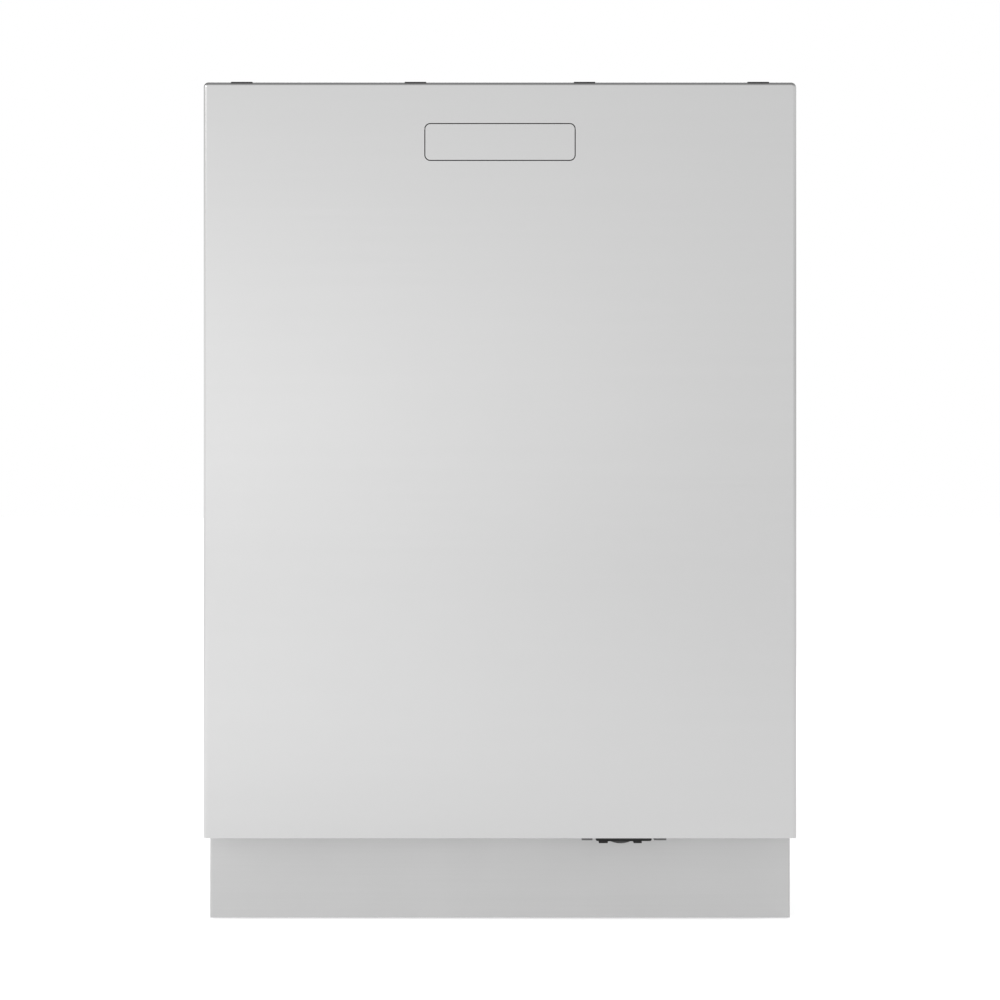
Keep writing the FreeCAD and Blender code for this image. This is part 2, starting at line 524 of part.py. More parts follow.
def pumps():
    """Circulation pump behind the sump; drain pump beside it, with its pipe to the spigot at the back."""
    bowl = disc(SUMP_X, SUMP_Y, 0, SUMP_R + SUMP_WALL, TUB_FLOOR)
    circulation = join(disc(5, 150, 89, 46, 35, X), disc(39, 150, 89, 40, 100, X),
                       disc(138, 150, 89, 14, 16, X), disc(22, 60, 89, 16, 60, Y).cut(bowl))
    spigot_x, spigot_z = -120.0, 80.0
    drain = join(disc(-136, SUMP_Y, spigot_z, 26, 33, X), disc(-190, SUMP_Y, spigot_z, 22, 55, X),
                 disc(-104, SUMP_Y, spigot_z, 12, 50, X).cut(bowl), disc(spigot_x, 0, spigot_z, 9, 258, Y),
                 disc(spigot_x, 257, spigot_z, 15, 5.5, Y), disc(spigot_x, 262, spigot_z, 10, BACK - 262, Y))
    drain = drain.cut(disc(spigot_x, BACK - 23, spigot_z, 7.5, 30, Y))
    return {"circulation_pump": [circulation], "drain_pump": [drain]}


def connections():
    """What a plumber and an electrician reach at the back: the water inlet and the cable gland."""
    valve = join(rounded(block((-217, -183), (238, 268.8), (73, 107)), Y, 4.0),
                 disc(-200, 268, 90, 15.5, 4.5, Y), disc(-200, 272, 90, 13.2, BACK - 272, Y))
    valve = valve.cut(disc(-200, BACK - 13, 90, 8, 20, Y))
    terminal = join(rounded(block((168, 236), (BASE_BACK, 283), (64, 126)), Y, 4.0),
                    disc(200, 282, 95, 10, BACK - 282, Y))
    terminal = terminal.cut(disc(200, 273.5, 95, 4.5, 20, Y))
    return {"inlet_valve": [valve], "terminal_box": [terminal]}


def plinth():
    """The kick plate: one sheet folded back at its sides and top, with two tabs that meet the base."""
    y = (PLINTH_FRONT, BASE_FRONT - 0.5)
    body = rounded(centred(PLINTH_HALF, y, (PLINTH_BOTTOM, PLINTH_TOP)), Z, 2.0, lambda m: m.y < BASE_FRONT - 5)
    hollow = centred(PLINTH_HALF - SHEET, (y[0] + SHEET, y[1] + 1), (PLINTH_BOTTOM - 1, PLINTH_TOP - SHEET))
    tabs = both_sides(block((150, 172), (y[0] + 1, BASE_FRONT), (60, 62)))
    return {"plinth": [join(body.cut(hollow), *tabs)]}


def base():
    springs = both_sides(join(disc(268, -146, 85, 7.5, 186, Y)))
    nodes = {"base_tray": [base_tray()], "sump": sump(), "door_springs": springs}
    for name, (x, y) in FEET.items():
        nodes[name] = [foot(x, y)]
    for more in (filters(), softener(), pumps(), connections(), plinth()):
        nodes.update(more)
    return nodes


# ---------------------------------------------------------------- spray arms
def spray_arm(x, y, z, reach, hub_r, bore_r, thick, width, sprays_up=True):
    """A two-bladed arm about a vertical axis, with a row of raised nozzles above or below each blade."""
    nozzle_low = z + thick - 1 if sprays_up else z - 1.6

    def blade(sign):
        root, tip = width / 2, width * 0.32
        points = [V(x, y - root, z), V(x + sign * (reach - tip), y - tip, z)]
        points += [V(x + sign * reach, y, z), V(x + sign * (reach - tip), y + tip, z), V(x, y + root, z)]
        edges = [Part.LineSegment(points[0], points[1]), Part.Arc(points[1], points[2], points[3]),
                 Part.LineSegment(points[3], points[4]), Part.LineSegment(points[4], points[0])]
        slab = Part.Face(Part.Wire([e.toShape() for e in edges])).extrude(Z * thick)
        nozzles = [disc(x + sign * reach * share, y + offset, nozzle_low, 4.0, 2.6)
                   for share, offset in ((0.35, 5), (0.52, -4), (0.68, 4), (0.83, -2), (0.94, 0))]
        return join(slab, *nozzles)

    hub = disc(x, y, z - 2, hub_r, thick + 5)
    return join(blade(1), blade(-1), hub).cut(disc(x, y, z - 10, bore_r, thick + 40))


def spray_system():
    """Feed duct up the back wall and along the ceiling, and the three arms."""
    duct = join(centred(20, (239, TUB_BACK - 0.2), (TUB_FLOOR + 0.1, 815)),
                centred(16, (ARM_Y, TUB_BACK - 0.2), (814, TUB_CEILING - 0.2)),
                disc(0, ARM_Y, 814, 18, TUB_CEILING - 814.2), disc(0, ARM_Y, 806, 11, 9),
                disc(0, ARM_Y, 789, 6, 18), disc(0, ARM_Y, 788, 9, 3))
    return {
        "feed_duct": [duct],
        "lower_spray_arm": [spray_arm(0, ARM_Y, 189, 212, 20, 8 + RUNNING, 11, 44)],
        "top_spray_arm": [spray_arm(0, ARM_Y, 794, 96, 15, 6 + RUNNING, 7, 26, sprays_up=False)],
        "upper_spray_arm": [spray_arm(0, ARM_Y, 421, 198, 17, 7 + RUNNING, 10, 40)],
    }


# ---------------------------------------------------------------- racks
def basket(floor, rim, wire, cells, wall_rows):
    """Floor and four walls of a wire rack, each a flat grid; the walls stand on the floor's edge."""
    width, depth, height = 2 * RACK_HALF, RACK_BACK - RACK_FRONT, rim - floor - wire
    low = floor + wire
    bottom = lattice(V(-RACK_HALF, RACK_FRONT, floor), X, Y, Z, (width, depth), cells, wire, wire)
    front, back = (lattice(V(-RACK_HALF, y, low), X, Z, Y, (width, height), (cells[0], wall_rows), wire, wire)
                   for y in (RACK_FRONT, RACK_BACK - wire))
    side = lattice(V(RACK_HALF - wire, RACK_FRONT + wire, low), Y, Z, X, (depth - 2 * wire, height),
                   (cells[1], wall_rows), wire, wire)
    return [bottom, front, back] + both_sides(side)


def tine_row(x, floor, height, y, wire, count):
    """A row of upright tines on one round bar: a comb with open gaps."""
    length = y[1] - y[0]
    pitch = (length - wire) / (count - 1)
    bar = disc(x, y[0], floor + wire / 2, wire / 2, length, Y)
    tines = [block((x - wire / 2, x + wire / 2), (y[0] + k * pitch, y[0] + k * pitch + wire),
                   (floor, floor + height)) for k in range(count)]
    return join(bar, *tines)


def lower_rack():
    wire = 4.0
    top = LOWER_FLOOR + wire
    solids = basket(LOWER_FLOOR, LOWER_RIM, wire, (12, 11), 3)
    solids += [tine_row(x, top, 66, (-180, 216), wire, 14) for x in (-205, -50, 30)]
    nodes = {"lower_rack_fold_tines": [tine_row(-120, top + 1.5, 66, (-180, 216), wire, 14)]}
    for name, y in AXLES_Y.items():
        carrier = join(block((RACK_HALF, RACK_HALF + 3.5), (y - 14, y + 14), (176, 250)),
                       disc(RACK_HALF + 3, y, WHEEL_Z, 4.0, 13, X))
        solids += both_sides(carrier)
        wheel = disc(RACK_HALF + 4.5, y, WHEEL_Z, WHEEL_R, 10, X)
        wheel = wheel.cut(disc(RACK_HALF, y, WHEEL_Z, 4 + RUNNING, 30, X))
        nodes[name] = both_sides(wheel)
    nodes["lower_rack_basket"] = solids
    return nodes


def upper_rack():
    wire = 3.0
    solids = basket(UPPER_FLOOR, UPPER_RIM, wire, (12, 11), 3)
    runner = join(block((RACK_HALF + 5, RACK_HALF + 17), (-205, 212), (UPPER_RAIL_Z - 6, UPPER_RAIL_Z + 6)),
                  block((RACK_HALF, RACK_HALF + 6), (-150, -120), (UPPER_RAIL_Z - 12, UPPER_RAIL_Z + 4)),
                  block((RACK_HALF, RACK_HALF + 6), (120, 150), (UPPER_RAIL_Z - 12, UPPER_RAIL_Z + 4)))
    solids += both_sides(runner)
    feed = join(disc(0, ARM_Y, 447, 8, RACK_BACK + 3 - ARM_Y, Y), disc(0, ARM_Y, 437, 15, 17.9),
                disc(0, ARM_Y, 414, 7, 24), disc(0, ARM_Y, 413, 10, 3))
    shelf_z, hinge_x = 548.0, -236.0
    shelf = join(lattice(V(hinge_x, -150, shelf_z), X, Y, Z, (92, 300), (3, 8), wire, wire),
                 disc(hinge_x, -150, shelf_z + wire / 2, wire / 2, 300, Y))
    return {"upper_rack_basket": solids, "upper_rack_feed_tube": [feed], "upper_rack_cup_shelf": [shelf]}


def cutlery_tray():
    wire = 3.0
    width, depth = 2 * RACK_HALF + 6, RACK_BACK - RACK_FRONT
    half = width / 2
    floor = lattice(V(-half, RACK_FRONT, TRAY_FLOOR), X, Y, Z, (width, depth), (22, 12), wire, wire)
    low = TRAY_FLOOR + wire
    walls = drop(centred(half, (RACK_FRONT, RACK_BACK), (low, TRAY_RIM)),
                 centred(half - wire, (RACK_FRONT + wire, RACK_BACK - wire), (low - 1, TRAY_RIM + 1)))
    dividers = [block((x - 1.5, x + 1.5), (RACK_FRONT + wire, RACK_BACK - wire), (low, TRAY_RIM - 8))
                for x in (-85, 85)]
    runner = block((half, half + 15), (RACK_FRONT, 212), (TRAY_RAIL_Z - 6, TRAY_RAIL_Z + 6))
    return {"cutlery_tray": [floor, join(walls, *dividers)] + both_sides(runner)}


def rails():
    """Fixed C-rails on the tub sides for the upper rack and the tray, and the rack's sliding members."""
    length = (RAIL_FRONT, RAIL_BACK)
    fixed = both_sides(channel(TUB_HALF - 0.3, 255.5, 26, length, UPPER_RAIL_Z),
                       channel(TUB_HALF - 0.3, 256.0, 21, length, TRAY_RAIL_Z))
    middle = both_sides(channel(TUB_HALF - 3.5, 252.0, 19, length, UPPER_RAIL_Z))
    return {"rack_rails": fixed, "upper_rail_members": middle}


# ---------------------------------------------------------------- build
def build():
    nodes = {}
    groups = (door, cabinet, base, spray_system, lower_rack, upper_rack, cutlery_tray, rails)
    for group in groups:
        nodes.update(group())
    os.makedirs("parts", exist_ok=True)
    for name, solids in nodes.items():
        for solid in solids:
            if not solid.isValid() or solid.Volume <= 0:
                raise ValueError(f"{name} holds a faulty solid")
        Part.makeCompound(solids).exportStep(os.path.join("parts", name + ".step"))
    print(len(nodes), "nodes,", sum(len(s) for s in nodes.values()), "solids")


build()
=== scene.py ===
"""Looks of the built-in dishwasher: procedural materials, and finer pieces that stand for some CAD nodes.

Metres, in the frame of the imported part: +Z up, -Y the door side, x = 0 the middle of the door.
"""

import json
import math

import bmesh
import bpy
from mathutils import Matrix, Vector, noise


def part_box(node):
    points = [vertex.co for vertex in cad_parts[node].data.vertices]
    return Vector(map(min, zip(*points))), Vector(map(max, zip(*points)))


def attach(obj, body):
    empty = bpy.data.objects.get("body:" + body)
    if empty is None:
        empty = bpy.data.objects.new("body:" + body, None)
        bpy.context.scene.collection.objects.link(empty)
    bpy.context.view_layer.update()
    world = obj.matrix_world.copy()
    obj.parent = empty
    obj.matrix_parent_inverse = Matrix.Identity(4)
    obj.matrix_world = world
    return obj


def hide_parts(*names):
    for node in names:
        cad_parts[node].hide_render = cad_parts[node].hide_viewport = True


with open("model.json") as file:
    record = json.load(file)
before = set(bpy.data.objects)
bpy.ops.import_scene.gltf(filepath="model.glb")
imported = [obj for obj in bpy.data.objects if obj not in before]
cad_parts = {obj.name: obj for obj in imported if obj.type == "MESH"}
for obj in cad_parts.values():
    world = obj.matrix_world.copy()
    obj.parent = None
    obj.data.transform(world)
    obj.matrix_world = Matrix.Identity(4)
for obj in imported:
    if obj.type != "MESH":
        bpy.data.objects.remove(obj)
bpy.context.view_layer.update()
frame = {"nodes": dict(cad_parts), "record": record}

MM = 0.001
NODES = frame["nodes"]
SLOT_OF = {s["node"]: s["material_slot"] for s in frame["record"]["subparts"]}
BODY_OF = {n: b for b, members in frame["record"]["behaviour"]["bodies"].items() for n in members}
DOOR_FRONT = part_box("door_outer_panel")[0].y


# ---------------------------------------------------------------- materials
class Graph:
    """Makes and links the shader nodes of a material or of the world."""

    def __init__(self, tree):
        self.tree = tree

    def node(self, kind, **settings):
        made = self.tree.nodes.new("ShaderNode" + kind)
        for key, value in settings.items():
            setattr(made, key, value)
        return made

    def link(self, source, target):
        self.tree.links.new(source, target)

    def feed(self, sockets, values):
        """Gives each socket its value: another socket, a number or a colour."""
        for socket, value in zip(sockets, values):
            if isinstance(value, bpy.types.NodeSocket):
                self.link(value, socket)
            elif isinstance(value, (int, float)):
                socket.default_value = value
            else:
                socket.default_value = (*value, 1.0)

    def maths(self, operation, *values):
        made = self.node("Math", operation=operation)
        self.feed(made.inputs, values)
        return made.outputs["Value"]

    def remap(self, value, low, high, to_low, to_high, **settings):
        """Takes low to to_low and high to to_high."""
        made = self.node("MapRange", **settings)
        self.feed(made.inputs, (value, low, high, to_low, to_high))
        return made.outputs["Result"]

    def mix(self, factor, first, second):
        made = self.node("Mix", data_type="RGBA")
        self.feed([s for s in made.inputs if s.enabled], (factor, first, second))
        return next(s for s in made.outputs if s.enabled)

    def split(self, vector):
        """The x, y and z of a vector."""
        made = self.node("SeparateXYZ")
        self.link(vector, made.inputs["Vector"])
        return made.outputs


class Paint(Graph):
    """A Principled material whose colour, roughness and bump are built from object-space patterns."""

    def __init__(self, name, roughness, metallic=0.0, **sockets):
        self.material = bpy.data.materials.new(name)
        self.material.use_nodes = True
        super().__init__(self.material.node_tree)
        self.shader = self.tree.nodes["Principled BSDF"]
        self.shader.inputs["Roughness"].default_value = roughness
        self.shader.inputs["Metallic"].default_value = metallic
        for socket, value in sockets.items():
            self.shader.inputs[socket.replace("_", " ")].default_value = value
        self.place = self.node("TexCoord").outputs["Object"]
        self.height = None

    def texture(self, kind, output, scale, **inputs):
        """A pattern over object space; scale is per metre, one number or (x, y, z)."""
        made = self.node(kind)
        for socket, value in {"Scale": 1.0, **inputs}.items():
            made.inputs[socket].default_value = value
        mapping = self.node("Mapping")
        mapping.inputs["Scale"].default_value = (scale,) * 3 if isinstance(scale, (int, float)) else scale
        self.link(self.place, mapping.inputs["Vector"])
        self.link(mapping.outputs["Vector"], made.inputs["Vector"])
        return made.outputs[output]

    def noise(self, scale, detail=4.0, roughness=0.55):
        """Clouds from 0 to 1."""
        return self.texture("TexNoise", "Fac", scale, Detail=detail, Roughness=roughness)

    def cells(self, scale, output="Distance", randomness=1.0):
        """Cells: the distance to the nearest cell's middle, or a colour for each cell."""
        return self.texture("TexVoronoi", output, scale, Randomness=randomness)

    def colour(self, value):
        self.link(value, self.shader.inputs["Base Color"])

    def rough(self, value):
        self.link(value, self.shader.inputs["Roughness"])

    def bump(self, value, strength, distance):
        """Adds a bump to those added before."""
        made = self.node("Bump")
        made.inputs["Strength"].default_value = strength
        made.inputs["Distance"].default_value = distance
        self.link(value, made.inputs["Height"])
        if self.height is not None:
            self.link(self.height, made.inputs["Normal"])
        self.height = made.outputs["Normal"]
        self.link(self.height, self.shader.inputs["Normal"])


def shade(colour, factor):
    return tuple(min(1.0, c * factor) for c in colour)


def brushed(name, colour, roughness, along, grain=500.0, contrast=0.03, wear=0.03):
    """Sheet steel with fine brush lines, faint clouds and handling marks.

    along names two axes, such as "xz": the lines run along the first one, and along the second one on faces
    that look along the first.
    """
    paint = Paint(name, roughness, 1.0)
    facing = paint.split(paint.node("TexCoord").outputs["Normal"])["XYZ".index(along[0].upper())]
    turned = paint.remap(paint.maths("ABSOLUTE", facing), 0.6, 0.8, 0.0, 1.0)

    def lines(length, width):
        first, second = (paint.noise(tuple(length if axis == way else width for axis in "xyz"), detail=2.0)
                         for way in along)
        return paint.mix(turned, first, second)

    fine, coarse = lines(4.0, grain), lines(2.5, grain / 5)
    clouds = paint.noise(3.0, detail=2.0)
    marks = paint.noise(9.0, detail=3.0)
    tone = paint.mix(fine, shade(colour, 1 - contrast), shade(colour, 1 + contrast))
    tone = paint.mix(paint.remap(coarse, 0.3, 0.7, 0.0, 0.15), tone, shade(colour, 0.94))
    tone = paint.mix(paint.remap(clouds, 0.35, 0.7, 0.0, 0.08), tone, shade(colour, 0.96))
    paint.colour(tone)
    paint.rough(paint.remap(marks, 0.3, 0.75, roughness - wear, roughness + wear))
    paint.bump(coarse, 0.02, 0.0001)
    return paint.material


def galvanised(name, colour):
    """Zinc-coated sheet with its spangle of crystals and a few dull stains."""
    paint = Paint(name, 0.42, 1.0)
    crystals = paint.node("RGBToBW")
    paint.link(paint.cells(85.0, "Color"), crystals.inputs["Color"])
    crystals = crystals.outputs["Val"]
    stains = paint.noise(7.0, detail=5.0)
    tone = paint.mix(crystals, shade(colour, 0.86), shade(colour, 1.1))
    tone = paint.mix(paint.remap(stains, 0.5, 0.75, 0.0, 0.35), tone, shade(colour, 0.72))
    paint.colour(tone)
    paint.rough(paint.remap(crystals, 0.0, 1.0, 0.30, 0.52))
    paint.bump(paint.cells(85.0), 0.05, 0.0002)
    return paint.material


def moulded(name, colour, roughness=0.45, grain=1500.0, depth=0.06, **sockets):
    """Injection-moulded plastic: a fine spark-eroded grain, slow tone changes and faint scuffs."""
    paint = Paint(name, roughness, 0.0, **sockets)
    slow = paint.noise(6.0, detail=3.0)
    scuffs = paint.noise((40.0, 160.0, 40.0), detail=6.0, roughness=0.7)
    fine = paint.noise(grain, detail=2.0)
    tone = paint.mix(slow, shade(colour, 0.92), shade(colour, 1.1))
    tone = paint.mix(paint.remap(scuffs, 0.62, 0.8, 0.0, 0.25), tone, shade(colour, 1.35))
    paint.colour(tone)
    paint.rough(paint.remap(scuffs, 0.3, 0.8, roughness - 0.05, roughness + 0.12))
    paint.bump(fine, depth, 0.0002)
    return paint.material


def rubber(name, colour):
    """Rubber or felt with a pale bloom in patches."""
    paint = Paint(name, 0.62)
    bloom = paint.noise(30.0, detail=6.0)
    paint.colour(paint.mix(paint.remap(bloom, 0.4, 0.75, 0.0, 0.6), colour, shade(colour, 1.7)))
    paint.rough(paint.remap(bloom, 0.3, 0.7, 0.5, 0.75))
    paint.bump(paint.noise(900.0, detail=3.0), 0.15, 0.0002)
    return paint.material


def bitumen(name, colour):
    """Sound-deadening sheet: near-black, creased in small scales, with pale talc left in the hollows."""
    paint = Paint(name, 0.7)
    scales = paint.cells(140.0)
    talc = paint.noise(26.0, detail=7.0, roughness=0.68)
    smears = paint.noise((7.0, 7.0, 2.5), detail=4.0)
    tone = paint.mix(paint.remap(talc, 0.5, 0.78, 0.0, 0.55), colour, shade(colour, 2.4))
    tone = paint.mix(paint.remap(scales, 0.35, 0.75, 0.0, 0.5), tone, shade(colour, 1.9))
    paint.colour(paint.mix(paint.remap(smears, 0.55, 0.8, 0.0, 0.25), tone, shade(colour, 3.2)))
    paint.rough(paint.remap(talc, 0.3, 0.75, 0.5, 0.85))
    paint.bump(scales, 0.6, 0.0009)
    paint.bump(paint.noise(420.0, detail=4.0), 0.3, 0.0004)
    return paint.material


def coated_wire(name, colour):
    """Nylon-coated wire: smooth and slightly orange-peeled, with tiny wear spots."""
    paint = Paint(name, 0.32, 0.0, Coat_Weight=0.25, Coat_Roughness=0.2)
    wear = paint.noise(120.0, detail=4.0)
    slow = paint.noise(5.0)
    tone = paint.mix(slow, shade(colour, 0.93), shade(colour, 1.07))
    paint.colour(paint.mix(paint.remap(wear, 0.68, 0.8, 0.0, 0.4), tone, shade(colour, 0.6)))
    paint.rough(paint.remap(wear, 0.3, 0.7, 0.26, 0.42))
    paint.bump(paint.noise(700.0), 0.08, 0.0002)
    return paint.material


def perforated(name, colour, hole, pitch):
    """Etched steel sheet with a regular pattern of round holes, as in a dishwasher's fine filter; the holes
    are painted shade.
    """
    paint = Paint(name, 0.35, 1.0)
    dots = paint.cells((1 / pitch, 1 / pitch, 0.01), "Distance", 0.0)
    holes = paint.remap(dots, hole - 0.06, hole + 0.06, 1.0, 0.0)
    stain = paint.noise(25.0, detail=5.0)
    tone = paint.mix(paint.remap(stain, 0.4, 0.7, 0.0, 0.3), colour, shade(colour, 0.75))
    # painted shade: the holes are painted near-black, for the dark seen through them
    paint.colour(paint.mix(holes, tone, (0.01, 0.01, 0.01)))
    paint.rough(paint.remap(stain, 0.3, 0.7, 0.28, 0.45))
    paint.bump(dots, 0.4, 0.0003)
    return paint.material


def glossy_black(name, colour):
    """Polished dark window with faint finger marks."""
    paint = Paint(name, 0.08, 0.0, Coat_Weight=0.6, Coat_Roughness=0.03)
    prints = paint.noise(35.0, detail=6.0)
    paint.colour(paint.mix(prints, colour, shade(colour, 1.6)))
    paint.rough(paint.remap(prints, 0.35, 0.75, 0.05, 0.16))
    paint.bump(paint.noise(400.0), 0.01, 0.0001)
    return paint.material


def glow(name, colour, strength):
    """A lit diode."""
    paint = Paint(name, 0.3)
    paint.colour(paint.mix(paint.noise(200.0), shade(colour, 0.8), colour))
    paint.rough(paint.remap(paint.noise(90.0), 0.0, 1.0, 0.25, 0.4))
    paint.bump(paint.noise(500.0), 0.05, 0.0001)
    paint.shader.inputs["Emission Color"].default_value = (*colour, 1.0)
    paint.shader.inputs["Emission Strength"].default_value = strength
    return paint.material


STEEL = (0.665, 0.665, 0.665)
DOOR_ROUGHNESS = 0.185
# for each slot, the function that makes its material, what that takes after the name, and other settings
LOOKS = {
    "door_steel": (brushed, STEEL, DOOR_ROUGHNESS, "xz", {"contrast": 0.012, "wear": 0.008}),
    "liner_steel": (brushed, (0.60, 0.605, 0.61), 0.30, "xz"),
    "tub_steel": (brushed, (0.58, 0.585, 0.59), 0.28, "yx"),
    "galvanised": (galvanised, (0.56, 0.58, 0.60)),
    "plinth_steel": (brushed, (0.63, 0.63, 0.63), 0.48, "xz", {"contrast": 0.02}),
    "hinge_steel": (brushed, (0.48, 0.49, 0.50), 0.38, "zy"),
    "rail_steel": (brushed, (0.62, 0.62, 0.63), 0.27, "yx"),
    "filter_steel": (perforated, (0.6, 0.6, 0.61), 0.30, 2.4 * MM),
    "screw_steel": (brushed, (0.65, 0.65, 0.66), 0.25, "xz", {"grain": 3000.0}),
    "spring_steel": (brushed, (0.38, 0.39, 0.40), 0.35, "xz", {"grain": 2500.0}),
    "black_plastic": (moulded, (0.022, 0.022, 0.024), 0.42),
    "button": (moulded, (0.05, 0.05, 0.053), 0.35, {"Coat_Weight": 0.15}),
    "window": (glossy_black, (0.012, 0.012, 0.015)),
    "lamp_lens": (moulded, (0.04, 0.04, 0.04), 0.4, {"Coat_Weight": 0.1}),
    "dispenser_plastic": (moulded, (0.20, 0.21, 0.225), 0.38),
    "lid_plastic": (moulded, (0.42, 0.43, 0.45), 0.36),
    "cap_plastic": (moulded, (0.16, 0.26, 0.42), 0.36),
    "rubber_seal": (rubber, (0.045, 0.045, 0.05)),
    "bitumen": (bitumen, (0.020, 0.0198, 0.0195)),
    "fleece": (rubber, (0.45, 0.42, 0.38)),
    "chamber_plastic": (moulded, (0.66, 0.67, 0.64), 0.34, {"Transmission_Weight": 0.12}),
    "base_plastic": (moulded, (0.085, 0.088, 0.092), 0.5, {"depth": 0.12}),
    "foot_plastic": (moulded, (0.06, 0.06, 0.063), 0.5),
    "coated_wire": (coated_wire, (0.36, 0.38, 0.40)),
    "wheel_plastic": (moulded, (0.17, 0.18, 0.19), 0.42),
    "arm_plastic": (moulded, (0.24, 0.25, 0.265), 0.40),
    "duct_plastic": (moulded, (0.20, 0.21, 0.225), 0.42),
    "shelf_plastic": (moulded, (0.32, 0.34, 0.37), 0.36),
    "tray_plastic": (moulded, (0.30, 0.31, 0.33), 0.38),
    "filter_plastic": (moulded, (0.16, 0.18, 0.20), 0.40),
    "salt_plastic": (moulded, (0.62, 0.62, 0.60), 0.40),
    "pump_plastic": (moulded, (0.55, 0.55, 0.53), 0.42),
    "valve_plastic": (moulded, (0.70, 0.70, 0.68), 0.40),
}
MATERIALS = {}
for slot, (maker, *values) in LOOKS.items():
    more = values.pop() if isinstance(values[-1], dict) else {}
    MATERIALS[slot] = maker(slot, *values, **more)
LED = glow("led", (0.75, 0.9, 1.0), 1.5)
# painted shade: a near-black, dull plastic for the pieces that darken the status lamp's upper edge
LAMP_SHADE_BLACK = moulded("lamp_black", (0.006, 0.006, 0.006), 0.6, Specular_IOR_Level=0.2)
LAMP_FINISHES = {
    "status_lamp_holder": moulded("lamp_housing", (0.020, 0.020, 0.020), 0.5, Specular_IOR_Level=0.3),
    "status_lamp_clips": moulded("lamp_clip", (0.15, 0.15, 0.15), 0.5, Specular_IOR_Level=0.3),
}


# ---------------------------------------------------------------- geometry helpers
def placed(name, data):
    """A new object in the scene."""
    made = bpy.data.objects.new(name, data)
    bpy.context.scene.collection.objects.link(made)
    return made


def piece(name, mesh, smooth_deg, body, slot=None, material=None, stands_for=()):
    """Gives a mesh its shading and material, attaches its object to its body, and hides the CAD nodes it
    stands for.
    """
    mesh.shade_smooth()
    mesh.set_sharp_from_angle(angle=math.radians(smooth_deg))
    mesh.materials.clear()
    mesh.materials.append(material or MATERIALS[slot])
    obj = placed(name, mesh)
    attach(obj, body)
    if stands_for:
        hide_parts(*stands_for)
    return obj


def add_mesh(name, bm, body, slot=None, material=None, stands_for=(), smooth_deg=32.0):
    mesh = bpy.data.meshes.new(name)
    bm.normal_update()
    bm.to_mesh(mesh)
    bm.free()
    return piece(name, mesh, smooth_deg, body, slot, material, stands_for)


def sharp_edges(bm, angle_deg):
    limit = math.radians(angle_deg)
    return [e for e in bm.edges if len(e.link_faces) == 2 and e.calc_face_angle() > limit]


def cleaned(node):
    """The node's mesh with its split vertices joined and its flat areas merged."""
    bm = bmesh.new()
    bm.from_mesh(NODES[node].data)
    bmesh.ops.remove_doubles(bm, verts=bm.verts, dist=2e-6)
    bmesh.ops.dissolve_limit(bm, angle_limit=math.radians(0.5), verts=bm.verts, edges=bm.edges)
    return bm


def round_edges(bm, edges, radius, segments):
    bmesh.ops.bevel(bm, geom=edges, offset=radius, offset_type="OFFSET", segments=segments, profile=0.5,
                    affect="EDGES", clamp_overlap=True)


def soften(node, radius_mm):
    """Makes a copy of a CAD node with rounded edges, which stands for the node."""
    bm = cleaned(node)
    round_edges(bm, sharp_edges(bm, 35.0), radius_mm * MM, 2)
    made = add_mesh(node + "_soft", bm, BODY_OF[node], SLOT_OF[node], LAMP_FINISHES.get(node), (node,))
    flatten_shading(made.data)


def flatten_shading(mesh):
    """Vertex normals follow the largest faces, so that flat areas beside a rounded edge look flat."""
    normals = [Vector() for _ in mesh.vertices]
    for face in mesh.polygons:
        for index in face.vertices:
            normals[index] += face.normal * face.area
    mesh.normals_split_custom_set_from_vertices([normal.normalized() for normal in normals])


def rounded_path(points, radius, steps=5, closed=False):
    """A polyline with each corner replaced by a smooth bend of about that radius."""
    points = [Vector(p) for p in points]
    count = len(points)
    out = []
    for k, here in enumerate(points):
        if not closed and k in (0, count - 1):
            out.append(here)
            continue
        before, after = points[k - 1], points[(k + 1) % count]
        reach = min(radius, 0.5 * (before - here).length, 0.5 * (after - here).length)
        start = here + (before - here).normalized() * reach
        end = here + (after - here).normalized() * reach
        for i in range(steps + 1):
            t = i / steps
            out.append(start * (1 - t) ** 2 + here * (2 * t * (1 - t)) + end * t ** 2)
    return out


def wires(name, runs, radius, body, slot, stands_for=(), closed=(), resolution=2):
    """Round wires along lists of points, as one mesh. Runs whose index is in closed are loops."""
    curve = bpy.data.curves.new(name, "CURVE")
    curve.dimensions = "3D"
    curve.bevel_depth = radius
    curve.bevel_resolution = resolution
    curve.use_fill_caps = True
    for k, run in enumerate(runs):
        spline = curve.splines.new("POLY")
        spline.points.add(len(run) - 1)
        for point, place in zip(spline.points, run):
            point.co = (*place, 1.0)
        spline.use_cyclic_u = k in closed
        spline.use_smooth = True
    holder = placed(name + "_curve", curve)
    depsgraph = bpy.context.evaluated_depsgraph_get()
    mesh = bpy.data.meshes.new_from_object(holder.evaluated_get(depsgraph))
    mesh.name = name
    bpy.data.objects.remove(holder)
    return piece(name, mesh, 60.0, body, slot, stands_for=stands_for)


def lathe(bm, profile, centre, axis, segments):
    """Adds a body of revolution: profile is (radius, distance along axis) from end to end."""
    axis = Vector(axis).normalized()
    side = axis.orthogonal().normalized()
    up = axis.cross(side)
    rings = []
    for radius, along in profile:
        base = Vector(centre) + axis * along
        if radius <= 1e-9:
            rings.append([bm.verts.new(base)])
            continue
        angles = (2 * math.pi * k / segments for k in range(segments))
        rings.append([bm.verts.new(base + (side * math.cos(a) + up * math.sin(a)) * radius) for a in angles])
    for low, high in zip(rings, rings[1:]):
        if len(low) == 1 and len(high) == 1:
            continue
        for k in range(segments):
            j = (k + 1) % segments
            if len(low) == 1:
                bm.faces.new((low[0], high[j], high[k]))
            elif len(high) == 1:
                bm.faces.new((low[k], low[j], high[0]))
            else:
                bm.faces.new((low[k], low[j], high[j], high[k]))
    bmesh.ops.recalc_face_normals(bm, faces=bm.faces)


